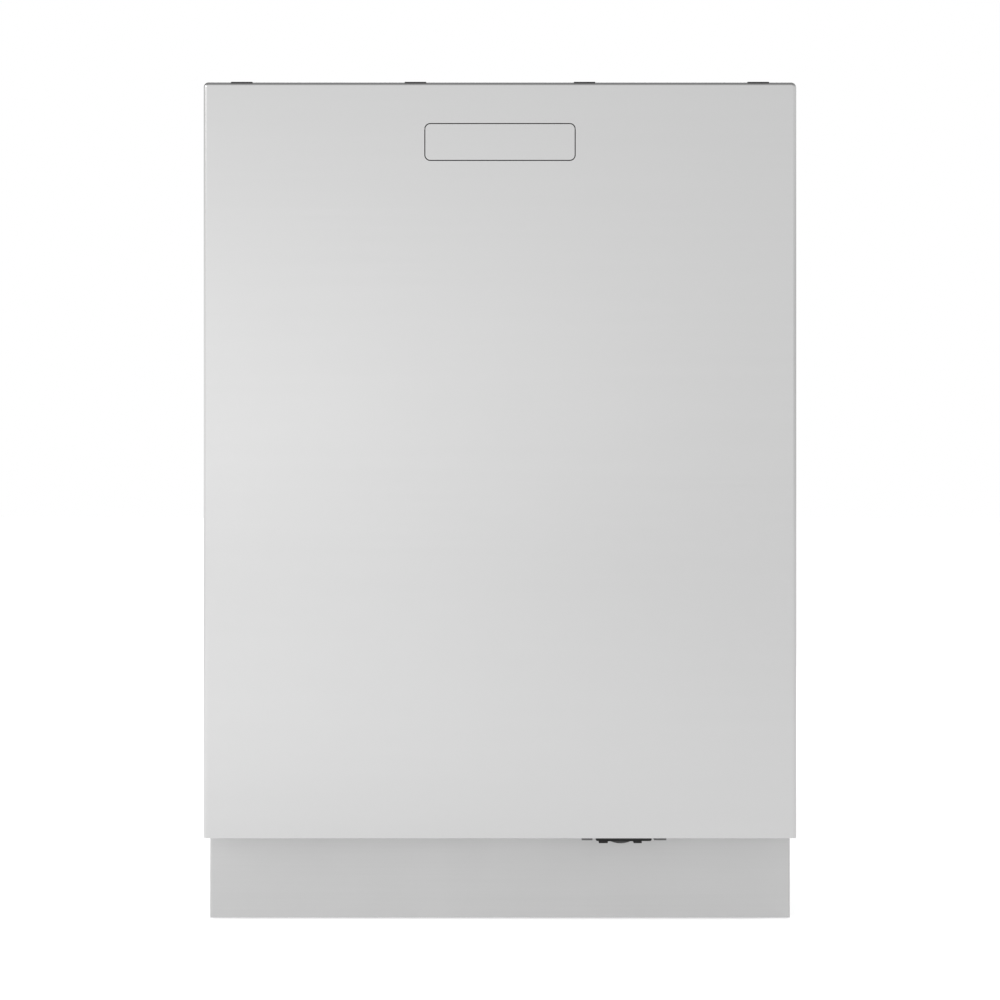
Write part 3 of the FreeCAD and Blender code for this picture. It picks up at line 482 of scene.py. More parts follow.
def slab(bm, low, high, radius, segments=2, turn=Matrix()):
    """Adds a box between two corners, turned by a matrix, with all its edges rounded."""
    low, high = Vector(low), Vector(high)
    made = bmesh.ops.create_cube(bm, size=1.0)["verts"]
    size, middle = high - low, (high + low) / 2
    for vert in made:
        vert.co = turn @ Vector(vert.co[i] * size[i] + middle[i] for i in range(3))
    round_edges(bm, list({e for v in made for e in v.link_edges}), radius, segments)


def mirrored_slabs(bm, inner, outer, low, high, radius, segments=2):
    """Adds a rounded box on each side, from x = inner to outer and from low to high, which are (y, z)."""
    for side in (-1, 1):
        near, far = sorted((side * inner, side * outer))
        slab(bm, (near, *low), (far, *high), radius, segments)


def helix(turns, steps):
    """Yields the cosine, the sine and the turns made so far, for each point of a helix."""
    for k in range(turns * steps + 1):
        angle = 2 * math.pi * k / steps
        yield math.cos(angle), math.sin(angle), k / steps


def spread(low, high, count):
    """Evenly spaced numbers from low to high."""
    return [low + (high - low) * k / (count - 1) for k in range(count)]


def islands(node):
    """Bounding boxes (low, high) of a node's separate solids."""
    bm = cleaned(node)
    seen, found = set(), []
    for start in bm.verts:
        if start in seen:
            continue
        group = [start]
        seen.add(start)
        for vert in group:
            fresh = {edge.other_vert(vert) for edge in vert.link_edges} - seen
            seen |= fresh
            group += fresh
        found.append([Vector(pick(vert.co[i] for vert in group) for i in range(3)) for pick in (min, max)])
    bm.free()
    return found


# ---------------------------------------------------------------- CAD nodes: finishes and softened edges
for name, node in NODES.items():
    node.data.materials.clear()
    node.data.materials.append(MATERIALS[SLOT_OF[name]])

# radius of the rounded edges of each node, in millimetres
SOFT_EDGES = {
    "top_edge_clips": 0.3, "control_strip": 0.5, "display_window": 0.3, "button_power": 0.8,
    "button_program": 0.8, "button_start": 0.8, "handle_pocket": 0.6, "dispenser_body": 0.8,
    "dispenser_lid": 0.6, "rinse_aid_cap": 0.8, "status_lamp_holder": 0.4, "status_lamp_lens": 0.4,
    "status_lamp_clips": 0.3, "hinge_arms": 0.4, "hinge_brackets": 0.4, "door_strike": 0.4,
    "door_catch": 1.0, "water_chamber": 1.0, "base_tray": 1.2, "terminal_box": 1.0, "inlet_valve": 0.8,
    "circulation_pump": 1.5, "drain_pump": 1.2, "salt_container": 1.0, "salt_cap": 0.8,
    "coarse_filter": 0.8, "sump": 1.0, "feed_duct": 1.5, "upper_rack_feed_tube": 1.0, "door_gasket": 0.8,
}
for name, radius in SOFT_EDGES.items():
    soften(name, radius)

# ---------------------------------------------------------------- racks
RACK_HALF = 0.244                   # half the width of both racks
BASKET_LOW, BASKET_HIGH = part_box("lower_rack_basket")
UPPER_LOW, UPPER_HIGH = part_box("upper_rack_basket")
TINE_LOW, TINE_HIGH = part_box("lower_rack_fold_tines")
LOWER_FLOOR = TINE_LOW.z - 5.5 * MM
UPPER_FLOOR = 0.455
UPPER_FRONT = -0.197
LOWER_WIRE, UPPER_WIRE, TINE_WIRE = 1.75 * MM, 1.5 * MM, 2.0 * MM   # radii
FIXED_TINES_X = (-0.205, -0.050, 0.030)
CUP_TINES_X = (-0.075, 0.02, 0.115, 0.19)
WHEELS = ("lower_rack_front_wheels", "lower_rack_rear_wheels")


def grip(name, body, half, low, high, radius):
    """A moulded grip across the front of a rack or tray; low and high are (y, z)."""
    bm = bmesh.new()
    slab(bm, (-half, *low), (half, *high), radius, 3)
    add_mesh(name, bm, body, "wheel_plastic")


def basket(name, node, floor, rim, front, back, wire, across, along, loops):
    """A rack of bent wire: hoops in both directions inside rounded loops, with a thicker rim."""
    body = BODY_OF[node]
    bend, thick = 16 * MM, 1.5 * wire
    outer, inner, top = RACK_HALF - wire, RACK_HALF - 3 * wire, rim - thick
    low_y, high_y = front + 3 * wire, back - 3 * wire
    runs = []
    base = floor + wire
    for y in spread(low_y + 0.02, high_y - 0.02, across):
        hoop = [(-inner, y, top), (-inner, y, base), (inner, y, base), (inner, y, top)]
        runs.append(rounded_path(hoop, bend))
    base = floor + 3 * wire
    for x in spread(-inner + 0.02, inner - 0.02, along):
        hoop = [(x, low_y, top), (x, low_y, base), (x, high_y, base), (x, high_y, top)]
        runs.append(rounded_path(hoop, bend))
    wires(name + "_hoops", runs, wire, body, "coated_wire", stands_for=(node,))

    def loop(half, y_low, y_high, z):
        corners = [(-half, y_low, z), (half, y_low, z), (half, y_high, z), (-half, y_high, z)]
        return rounded_path(corners, 0.03, steps=6, closed=True)

    rings = [loop(outer, front + wire, back - wire, z) for z in loops]
    wires(name + "_loops", rings, wire, body, "coated_wire", closed=range(len(rings)))
    rims = [loop(RACK_HALF - thick, front + thick, back - thick, top)]
    wires(name + "_rim", rims, thick, body, "coated_wire", closed=(0,))


def tines(name, node, x, floor, height, y_low, y_high, count, lean=0.0):
    """A row of round tines with domed tips on a bar."""
    wire, tip = TINE_WIRE, floor + height - TINE_WIRE
    runs = [[(x, y_low, floor + wire), (x, y_high, floor + wire)]]
    tips = bmesh.new()
    dome = [(wire * math.cos(a), wire * math.sin(a)) for a in (math.pi / 2 * k / 4 for k in range(4))]
    for y in spread(y_low + wire, y_high - wire, count):
        runs.append([(x, y, floor + wire), (x + lean, y, floor + height * 0.6), (x + lean, y, tip)])
        lathe(tips, dome + [(0, wire)], (x + lean, y, tip), (0, 0, 1), 12)
    wires(name, runs, wire, BODY_OF[node], "coated_wire", stands_for=(node,))
    add_mesh(name + "_tips", tips, BODY_OF[node], "coated_wire")


def lower_rack():
    """The wire basket, its fixed and folding tines with their clips, and a grip."""
    basket("lower_rack", "lower_rack_basket", LOWER_FLOOR, BASKET_HIGH.z, BASKET_LOW.y, BASKET_HIGH.y,
           LOWER_WIRE, 13, 14, (LOWER_FLOOR + 0.045, LOWER_FLOOR + 0.105))
    base, front, back, tall = LOWER_FLOOR + 4 * MM, TINE_LOW.y, TINE_HIGH.y, 66 * MM
    for k, x in enumerate(FIXED_TINES_X):
        tines(f"fixed_tines_{k}", "lower_rack_basket", x, base, tall, front, back, 14, 4 * MM)
    fold_x = (TINE_LOW.x + TINE_HIGH.x) / 2
    tines("fold_tines", "lower_rack_fold_tines", fold_x, TINE_LOW.z, tall, front, back, 14)
    clips = bmesh.new()
    for y in spread(front + 0.03, back - 0.03, 3):
        slab(clips, (-0.1265, y - 6 * MM, base - 1 * MM), (-0.1135, y + 6 * MM, base + 1 * MM), 0.8 * MM)
    add_mesh("fold_tine_clips", clips, "lower_rack", "wheel_plastic")
    grip("lower_rack_grip", "lower_rack", 0.085, (BASKET_LOW.y - 1.5 * MM, BASKET_HIGH.z - 26 * MM),
         (BASKET_LOW.y + 8 * MM, BASKET_HIGH.z), 3.5 * MM)


def wheel_pair(node):
    """Two rollers with a tyre, a thin web with ribs, and a hub."""
    low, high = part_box(node)
    _, y, z = (low + high) / 2
    radius, width = (high.z - low.z) / 2, 10 * MM
    bm = bmesh.new()
    for side in (-1, 1):
        outer_face = side * high.x
        axis = (-side, 0, 0)
        tyre = [(radius - 5 * MM, 1 * MM), (radius - 4 * MM, 0), (radius - 1 * MM, 0), (radius, 1 * MM),
                (radius, width - 1 * MM), (radius - 1 * MM, width), (radius - 4 * MM, width),
                (radius - 5 * MM, width - 1 * MM), (radius - 5 * MM, 1 * MM)]
        hub = [(4.1 * MM, 0.5 * MM), (7.5 * MM, 0.5 * MM), (8 * MM, 1 * MM), (8 * MM, width),
               (4.1 * MM, width), (4.1 * MM, 0.5 * MM)]
        web = [(7.5 * MM, 4 * MM), (radius - 4.5 * MM, 4 * MM), (radius - 4.5 * MM, 6 * MM),
               (7.5 * MM, 6 * MM), (7.5 * MM, 4 * MM)]
        for profile in (tyre, hub, web):
            lathe(bm, profile, (outer_face, y, z), axis, 40)
        flip = Matrix.Translation((outer_face - side * 1.5 * MM, y, z)) @ Matrix.Diagonal((-side, 1, 1, 1))
        for k in range(6):
            slab(bm, (0, -0.9 * MM, 7.5 * MM), (5 * MM, 0.9 * MM, radius - 4.5 * MM), 0.4 * MM, 1,
                 flip @ Matrix.Rotation(math.pi / 3 * k, 4, "X"))
    bmesh.ops.recalc_face_normals(bm, faces=bm.faces)
    add_mesh(node + "_rollers", bm, BODY_OF[node], "wheel_plastic", stands_for=(node,))


def wheel_carriers():
    """Plates on the lower rack's sides, with the stub axles that the rollers turn on."""
    bm = bmesh.new()
    for node in WHEELS:
        low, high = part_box(node)
        _, y, z = (low + high) / 2
        mirrored_slabs(bm, RACK_HALF - 1 * MM, RACK_HALF + 3.5 * MM, (y - 14 * MM, z - 8.5 * MM),
                       (y + 14 * MM, LOWER_FLOOR + 25 * MM), 1.5 * MM, 3)
        for side in (-1, 1):
            lathe(bm, [(0, 0), (4.0 * MM, 0), (4.0 * MM, 12 * MM), (3.2 * MM, 13 * MM), (0, 13 * MM)],
                  (side * (RACK_HALF + 3 * MM), y, z), (side, 0, 0), 24)
    add_mesh("lower_rack_wheel_carriers", bm, "lower_rack", "duct_plastic")


def upper_rack():
    """The wire basket, its cup tines, the runners that slide on the rails, and a grip."""
    basket("upper_rack", "upper_rack_basket", UPPER_FLOOR, UPPER_HIGH.z, UPPER_FRONT, UPPER_HIGH.y,
           UPPER_WIRE, 12, 16, (UPPER_FLOOR + 0.035, UPPER_FLOOR + 0.08))
    for k, x in enumerate(CUP_TINES_X):
        tines(f"cup_tines_{k}", "upper_rack_basket", x, UPPER_FLOOR + 5 * MM, 42 * MM,
              -0.165, 0.2, 12, 6 * MM)
    rail_low, rail_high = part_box("upper_rail_members")
    middle = (rail_low.z + rail_high.z) / 2
    bm = bmesh.new()
    mirrored_slabs(bm, RACK_HALF + 5 * MM, RACK_HALF + 17 * MM, (UPPER_LOW.y, middle - 6 * MM),
                   (0.212, middle + 6 * MM), 1.5 * MM)
    for y in (-0.135, 0.135):
        mirrored_slabs(bm, RACK_HALF - 1 * MM, RACK_HALF + 6 * MM, (y - 15 * MM, middle - 12 * MM),
                       (y + 15 * MM, middle + 4 * MM), 1.5 * MM)
    add_mesh("upper_rack_runners", bm, "upper_rack", "duct_plastic")
    grip("upper_rack_grip", "upper_rack", 0.085, (UPPER_FRONT - 1.5 * MM, UPPER_HIGH.z - 24 * MM),
         (UPPER_FRONT + 7 * MM, UPPER_HIGH.z), 3.5 * MM)


def cup_shelf():
    """A frame of bars with slats, and the hooks it turns in."""
    low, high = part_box("upper_rack_cup_shelf")
    r = 1.5 * MM
    z = (low.z + high.z) / 2
    left, right, front, back = low.x + r, high.x - r, low.y + r, high.y - r
    corners = [(left, front, z), (right, front, z), (right, back, z), (left, back, z)]
    runs = [rounded_path(corners, 0.012, closed=True)]
    runs += [[(left, y, z), (right, y, z)] for y in spread(low.y + 0.02, high.y - 0.02, 14)]
    runs += [[(x, front, z), (x, back, z)] for x in spread(low.x + 0.02, high.x - 0.02, 3)]
    wires("cup_shelf_frame", runs, r, "cup_shelf", "shelf_plastic", ("upper_rack_cup_shelf",), closed=(0,))
    hooks = bmesh.new()
    for y in spread(low.y + 0.04, high.y - 0.04, 2):
        slab(hooks, (-RACK_HALF + 1.5 * MM, y - 7 * MM, z - 5 * MM),
             (low.x - 0.4 * MM, y + 7 * MM, z + 5 * MM), 1 * MM)
    add_mesh("cup_shelf_hooks", hooks, "upper_rack", "shelf_plastic")


def cutlery_tray():
    """A moulded tray: a slatted floor, walls with a rolled rim, two dividers, toothed strips and a grip."""
    low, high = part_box("cutlery_tray")
    front, back = low.y, high.y
    half = high.x - 15 * MM
    wall, floor_top, wall_top = 3 * MM, low.z + 3 * MM, high.z - 1 * MM
    bm = bmesh.new()
    for x in (-half, half - wall):
        slab(bm, (x, front, low.z), (x + wall, back, wall_top), 1.0 * MM)
    for y in (front, back - wall):
        slab(bm, (-half, y, low.z), (half, y + wall, wall_top), 1.0 * MM)
    for x in (-0.085, 0.085):
        slab(bm, (x - 1.5 * MM, front + 1 * MM, low.z), (x + 1.5 * MM, back - 1 * MM, high.z - 8 * MM),
             1.2 * MM)
    for x in spread(-half + wall, half - wall - 3 * MM, 23)[1:-1]:
        slab(bm, (x, front + 1 * MM, low.z), (x + 3 * MM, back - 1 * MM, floor_top), 1.0 * MM)
    for y in spread(front + wall, back - wall - 3 * MM, 13)[1:-1]:
        slab(bm, (-half + 1 * MM, y, low.z + 0.2 * MM), (half - 1 * MM, y + 3 * MM, floor_top - 0.2 * MM),
             1.0 * MM)
    rail_low = (low.z + high.z) / 2 - 10.5 * MM
    mirrored_slabs(bm, half - 0.5 * MM, high.x, (front, rail_low), (back - 21 * MM, rail_low + 12 * MM),
                   1.5 * MM)
    add_mesh("cutlery_tray_body", bm, "cutlery_tray", "tray_plastic", stands_for=("cutlery_tray",))
    r = 2.4 * MM
    corners = [(-half + r, front + r), (half - r, front + r), (half - r, back - r), (-half + r, back - r)]
    rim = rounded_path([(x, y, high.z - r) for x, y in corners], 0.012, closed=True)
    wires("cutlery_tray_rim", [rim], r, "cutlery_tray", "tray_plastic", closed=(0,), resolution=3)
    teeth = bmesh.new()
    for x in (-0.19, -0.135, 0.135, 0.19):
        slab(teeth, (x - 1 * MM, front + 5 * MM, floor_top - 0.5 * MM),
             (x + 1 * MM, back - 5 * MM, floor_top + 5 * MM), 0.4 * MM, 1)
        for y in spread(front + 0.016, back - 0.016, 24):
            slab(teeth, (x - 1 * MM, y - 1.6 * MM, floor_top),
                 (x + 1 * MM, y + 1.6 * MM, floor_top + 21 * MM), 0.7 * MM, 1)
    add_mesh("cutlery_tray_teeth", teeth, "cutlery_tray", "tray_plastic")
    grip("cutlery_tray_grip", "cutlery_tray", 0.07, (front - 1.5 * MM, high.z - 20 * MM),
         (front + 4 * MM, high.z), 2 * MM)


# ---------------------------------------------------------------- small parts
JETS = ((0.35, 5), (0.52, -4), (0.68, 4), (0.83, -2), (0.94, 0))    # share of the reach, millimetres aside


def loft(bm, rings):
    """Adds a closed skin over rings of equal point count, with a flat cap at each end."""
    loops = [[bm.verts.new(place) for place in ring] for ring in rings]
    count = len(loops[0])
    for near, far in zip(loops, loops[1:]):
        for k in range(count):
            j = (k + 1) % count
            bm.faces.new((near[k], near[j], far[j], far[k]))
    bm.faces.new(loops[0])
    bm.faces.new(loops[-1])


def arm_section(half_width, thick):
    """Outline of a blade, as (across, up): flat below, a thin weld flange at mid height, a crowned top."""
    flange, lip = 0.42 * thick, 0.5 * MM
    body = max(half_width - 1.2 * MM, 0.2 * half_width)
    crown = [(body * math.cos(a), flange + lip + (thick - flange - lip) * math.sin(a) ** 0.8)
             for a in (math.pi / 2 * k / 6 for k in range(1, 7))]
    right = [(0.72 * body, 0.0), (0.93 * body, 0.12 * thick), (body, flange - lip),
             (half_width, flange - lip), (half_width, flange + lip), (body, flange + lip)] + crown
    left = [(-across, up) for across, up in reversed(right[:-1])]
    return right + left


def spray_arm(node, reach, hub, bore, sprays_up=True):
    """Two crowned blades with a weld seam round them, raised nozzles with sunk jets, and a turned hub."""
    low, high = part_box(node)
    x, y, _ = (low + high) / 2
    base, thick, root = low.z + 2 * MM, high.z - low.z - 5 * MM, (high.y - low.y) / 2
    tip = 0.64 * root
    shaft, start = reach - tip, bore + 2 * MM
    bm = bmesh.new()

    def raised(up):
        return base + up if sprays_up else base + thick - up

    stations = [(start + (shaft - start) * k / 12, 1.0) for k in range(13)]
    stations += [(shaft + tip * math.sin(a), math.cos(a)) for a in (math.pi / 2 * k / 8 for k in range(1, 8))]
    boss = [(5.4 * MM, -3.0 * MM), (4.6 * MM, -1.2 * MM), (3.9 * MM, -0.2 * MM), (3.6 * MM, 1.1 * MM),
            (2.9 * MM, 1.6 * MM), (1.7 * MM, 1.5 * MM), (1.3 * MM, 0.5 * MM), (0, 0.5 * MM)]
    for sign in (-1, 1):
        rings = []
        for along, fade in stations:
            half_width = (root + (tip - root) * min(along / shaft, 1.0)) * fade
            section = arm_section(half_width, thick * (1.0 - 0.2 * along / reach) * (0.55 + 0.45 * fade))
            rings.append([(x + sign * along, y + across, raised(up)) for across, up in section])
        loft(bm, rings)
        for share, offset in JETS:
            lathe(bm, boss, (x + sign * reach * share, y + offset * MM, raised(thick)),
                  (0, 0, 1 if sprays_up else -1), 20)
    ring = [(bore, 0), (hub - 1 * MM, 0), (hub, 1 * MM), (hub, 3 * MM), (hub + 1.8 * MM, 4 * MM),
            (hub + 1.8 * MM, thick), (hub, thick + 2 * MM), (hub - 2 * MM, thick + 2.6 * MM),
            (hub - 4 * MM, thick + 5 * MM), (bore, thick + 5 * MM), (bore, 0)]
    lathe(bm, ring, (x, y, low.z), (0, 0, 1), 48)
    add_mesh(node + "_moulding", bm, BODY_OF[node], "arm_plastic", stands_for=(node,), smooth_deg=38.0)


def insulation_mats():
    """Heavy sheets stuck to the tub: rounded at the rim, uneven over the middle, with shallow dimples."""
    mesh_step = 9 * MM
    for number, (low, high) in enumerate(islands("insulation_mats")):
        size = high - low
        thin = min(range(3), key=lambda i: size[i])
        wide, tall = (i for i in range(3) if i != thin)
        outward = low[thin] + high[thin] > 0
        inner, outer = (low[thin], high[thin]) if outward else (high[thin], low[thin])
        across, along = (max(4, round(size[i] / mesh_step)) for i in (wide, tall))
        bm = bmesh.new()

        def place(i, j, depth):
            spot = Vector((0, 0, 0))
            spot[wide] = low[wide] + size[wide] * i / across
            spot[tall] = low[tall] + size[tall] * j / along
            spot[thin] = inner + (outer - inner) * depth
            return spot

        def depth_at(i, j):
            from_rim = min(i, j, across - i, along - j)
            if from_rim == 0:
                return 0.35
            lumps = noise.fractal(place(i, j, 0.0) * 9.0, 1.0, 2.0, 3)
            dimple = 0.12 if (i + j) % 4 == 0 and (i - j) % 4 == 0 else 0.0
            return (0.72 if from_rim == 1 else 0.84) + 0.13 * max(-1.0, min(1.0, lumps)) - dimple

        face = [[bm.verts.new(place(i, j, depth_at(i, j))) for j in range(along + 1)]
                for i in range(across + 1)]
        for i in range(across):
            for j in range(along):
                bm.faces.new((face[i][j], face[i + 1][j], face[i + 1][j + 1], face[i][j + 1]))
        rim = ([(i, 0) for i in range(across)] + [(across, j) for j in range(along)]
               + [(i, along) for i in range(across, 0, -1)] + [(0, j) for j in range(along, 0, -1)])
        back = [bm.verts.new(place(i, j, 0.0)) for i, j in rim]
        for k, (i, j) in enumerate(rim):
            i_next, j_next = rim[(k + 1) % len(rim)]
            bm.faces.new((face[i][j], back[k], back[(k + 1) % len(rim)], face[i_next][j_next]))
        bm.faces.new(back)
        bmesh.ops.recalc_face_normals(bm, faces=bm.faces)
        stands_for = ("insulation_mats",) if number == 0 else ()
        add_mesh(f"insulation_mat_{number}", bm, "cabinet", "bitumen", stands_for=stands_for, smooth_deg=50.0)


def coil_springs():
    """Door springs: a coil between two straight ends."""
    turns, wire = 34, 1.1 * MM
    runs = []
    for low, high in islands("door_springs"):
        x, _, z = (low + high) / 2
        coil = (high.x - low.x) / 2 - wire
        start, end = low.y + 8 * MM, high.y - 8 * MM
        path = [(x, low.y, z), (x, low.y + 4 * MM, z)]
        path += [(x + coil * sine, start + (end - start) * made / turns, z + coil * cosine)
                 for cosine, sine, made in helix(turns, 18)]
        runs.append(path + [(x, high.y - 4 * MM, z), (x, high.y, z)])
    wires("door_coil_springs", runs, wire, "cabinet", "spring_steel", stands_for=("door_springs",))


def screw_heads():
    """Pan heads with a round drive recess, one for each screw of the CAD node."""
    profile = [(1, 0), (1, 0.3), (0.9, 0.62), (0.68, 0.88), (0.45, 1), (0.42, 0.96), (0.38, 0.45), (0, 0.4)]
    bm = bmesh.new()
    for low, high in islands("cabinet_screws"):
        size, middle = high - low, (high + low) / 2
        thin = min(range(3), key=lambda i: size[i])
        radius, tall = max(size) / 2, size[thin]
        axis = Vector((0, 0, 0))
        axis[thin] = -1.0 if (thin == 1 and middle.y < 0) else 1.0
        lathe(bm, [(radius * out, tall * up) for out, up in profile], middle - axis * tall / 2, axis, 28)
    add_mesh("cabinet_screw_heads", bm, "cabinet", "screw_steel", stands_for=("cabinet_screws",))


def feet():
    """Round the edges of the feet, and add their threads and the ribs under the pads' rims."""
    thread_low, thread_radius, pitch = 21 * MM, 4.75 * MM, 2 * MM
    for corner in ("front_left", "front_right", "rear_left", "rear_right"):
        node = "foot_" + corner
        soften(node, 0.6)
        low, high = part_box(node)
        x, y, _ = (low + high) / 2
        path = [(x + thread_radius * cosine, y + thread_radius * sine, thread_low + pitch * made)
                for cosine, sine, made in helix(21, 14)]
        wires(node + "_thread", [path], 0.42 * MM, node, "foot_plastic", resolution=1)
        ribs = bmesh.new()
        for k in range(12):
            slab(ribs, (8.5 * MM, -0.8 * MM, 7 * MM), (18.5 * MM, 0.8 * MM, 9.2 * MM), 0.4 * MM, 1,
                 Matrix.Translation((x, y, 0)) @ Matrix.Rotation(math.pi / 6 * k, 4, "Z"))
        add_mesh(node + "_ribs", ribs, node, "foot_plastic")


def connections():
    """Thread turns on the water inlet and barbs on the drain spigot."""
    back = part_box("inlet_valve")[1].y
    inlet_x, inlet_z, spigot_x, spigot_z = -0.200, 0.090, -0.120, 0.080
    thread_radius, pitch = 13.0 * MM, 1.81 * MM
    path = [(inlet_x + thread_radius * cosine, back - 1.2 * MM - pitch * made, inlet_z + thread_radius * sine)
            for cosine, sine, made in helix(7, 36)]
    wires("inlet_thread", [path], 0.6 * MM, "cabinet", "valve_plastic")
    barbs = bmesh.new()
    for k in range(3):
        lathe(barbs, [(9.8 * MM, 0), (11.0 * MM, 0.4 * MM), (9.8 * MM, 5 * MM)],
              (spigot_x, back - 19 * MM + 6 * MM * k, spigot_z), (0, 1, 0), 40)
    add_mesh("drain_barbs", barbs, "cabinet", "pump_plastic")


def base_ribs():
    """Stiffening ribs round the outside of the moulded base."""
    low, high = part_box("base_tray")
    bm = bmesh.new()
    z_low, z_high, sunk = low.z + 6 * MM, high.z - 8 * MM, high.x - 1 * MM
    for y in spread(low.y + 0.05, high.y - 0.04, 10):
        mirrored_slabs(bm, sunk, high.x + 2 * MM, (y - 1.5 * MM, z_low), (y + 1.5 * MM, z_high), 0.8 * MM)
    for x in (-0.26, -0.235, -0.16, -0.08, -0.04, 0.0, 0.04, 0.08, 0.12, 0.255):
        slab(bm, (x - 1.5 * MM, high.y - 1 * MM, z_low), (x + 1.5 * MM, high.y + 2 * MM, z_high), 0.8 * MM)
    for z in (low.z + 5 * MM, high.z - 9 * MM):
        mirrored_slabs(bm, sunk, high.x + 1.5 * MM, (low.y + 8 * MM, z - 1.5 * MM),
                       (high.y - 8 * MM, z + 1.5 * MM), 0.8 * MM)
    add_mesh("base_outer_ribs", bm, "cabinet", "base_plastic")


def door_details():
    """Lights in the display, a latch and dosing ridges on the dispenser, and rivets on the hinge arms."""
    low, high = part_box("display_window")
    lights = bmesh.new()
    for x in (-0.045, -0.033, -0.021, 0.03):
        lathe(lights, [(1.3 * MM, -0.2 * MM), (1.2 * MM, 0.15 * MM), (0, 0.25 * MM)],
              (x, (low.y + high.y) / 2, high.z), (0, 0, 1), 16)
    add_mesh("display_lights", lights, "door", material=LED)
    low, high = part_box("dispenser_lid")
    ridges = bmesh.new()
    for z in spread(low.z + 0.014, high.z - 0.014, 5):
        slab(ridges, (low.x + 8 * MM, high.y - 3.2 * MM, z - 1 * MM),
             (high.x - 20 * MM, high.y - 2.0 * MM, z + 1 * MM), 0.5 * MM)
    add_mesh("dispenser_lid_ridges", ridges, "dispenser_lid", "lid_plastic")
    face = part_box("dispenser_body")[1].y
    latch = bmesh.new()
    lathe(latch, [(9 * MM, -1 * MM), (9 * MM, 1.2 * MM), (8 * MM, 2 * MM), (3 * MM, 1.4 * MM), (0, 1.3 * MM)],
          (0.070, face, 0.565), (0, 1, 0), 32)
    for z in spread(0.450, 0.470, 3):
        slab(latch, (0.055, face - 0.5 * MM, z - 1 * MM), (0.085, face + 0.8 * MM, z + 1 * MM), 0.4 * MM)
    add_mesh("dispenser_latch", latch, "door", "dispenser_plastic")
    rivets = bmesh.new()
    arm_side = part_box("hinge_arms")[1].x
    dome = [(4 * MM, -0.5 * MM), (4 * MM, 0.3 * MM), (3.2 * MM, 1.2 * MM), (1.6 * MM, 1.7 * MM),
            (0, 1.8 * MM)]
    for side in (-1, 1):
        for z in (0.150, 0.190, 0.240, 0.295):
            lathe(rivets, dome, (side * arm_side, -0.249, z), (side, 0, 0), 20)
    add_mesh("hinge_rivets", rivets, "door", "hinge_steel")


def lamp_shade_pieces():
    """Painted shade: a near-black lip along the holder's underside, and a near-black strip arched between it
    and the lens.
    """
    low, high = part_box("status_lamp_lens")
    holder_low, holder_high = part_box("status_lamp_holder")
    under = high.z
    middle, half, arch = (low.x + high.x) / 2, (high.x - low.x) / 2 + 0.4 * MM, 0.4 * MM
    path = [(middle + half * k / 8, low.y - 0.5 * MM, under - 0.3 * MM - arch * (k / 8) ** 2)
            for k in range(-8, 9)]
    shade_arc = wires("status_lamp_shade_arc", [path], 0.6 * MM, "door", "black_plastic", resolution=3)
    bm = bmesh.new()
    slab(bm, (holder_low.x + 0.6 * MM, holder_low.y + 0.4 * MM, under - 0.7 * MM),
         (holder_high.x - 0.6 * MM, low.y + 9 * MM, under + 0.3 * MM), 0.3 * MM)
    lip = add_mesh("status_lamp_shade_lip", bm, "door", "black_plastic")
    # painted shade: both pieces take the near-black, dull plastic
    for part in (shade_arc, lip):
        part.data.materials[0] = LAMP_SHADE_BLACK


def flap_gap_shade():
    """Black sleeves on the flap's hinge pins, where the pins show through the gap beside the flap: painted
    shade that keeps the gap dark.
    """
    flap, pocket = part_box("handle_flap")[1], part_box("handle_pocket")[1]
    bore, outside = 2.52 * MM, 2.9 * MM
    start = flap.x - 8.6 * MM
    length = pocket.x - 3.3 * MM - start
    bm = bmesh.new()
    for side in (-1, 1):
        lathe(bm, [(bore, 0), (outside, 0), (outside, length), (bore, length), (bore, 0)],
              (side * start, DOOR_FRONT + 6.0 * MM, flap.z - 4.0 * MM), (side, 0, 0), 24)
    # painted shade: the sleeves hide the lit pins so the gap beside the flap stays dark
    add_mesh("flap_pin_shade_sleeves", bm, "flap", "black_plastic")


def coarse_filter_hoops():
    """Thin hoops round the filter's cylinder."""
    low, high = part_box("coarse_filter")
    x, y, _ = (low + high) / 2
    inside, outside = 35.7 * MM, 36.4 * MM
    ring = [(inside, -0.8 * MM), (outside, -0.8 * MM), (outside, 0.8 * MM), (inside, 0.8 * MM)]
    bm = bmesh.new()
    for z in spread(low.z + 3 * MM, 0.130, 5):
        lathe(bm, ring, (x, y, z), (0, 0, 1), 48)
    add_mesh("coarse_filter_hoops", bm, "coarse_filter", "filter_plastic")


lower_rack()
for name in WHEELS:
    wheel_pair(name)
wheel_carriers()
upper_rack()
cup_shelf()
cutlery_tray()
spray_arm("lower_spray_arm", 0.212, 20 * MM, 8.4 * MM)
spray_arm("upper_spray_arm", 0.198, 17 * MM, 7.4 * MM)
spray_arm("top_spray_arm", 0.096, 11 * MM, 6.4 * MM, sprays_up=False)
insulation_mats()
coil_springs()
screw_heads()
feet()
connections()
base_ribs()
door_details()
lamp_shade_pieces()
flap_gap_shade()
coarse_filter_hoops()

# ---------------------------------------------------------------- camera, light, floor
WHITE = (1.0, 1.0, 1.0, 1.0)
CAMERA_DISTANCE = 2.540             # from the door's front
CAMERA_HEIGHT = 0.4298
LENS = 91.04
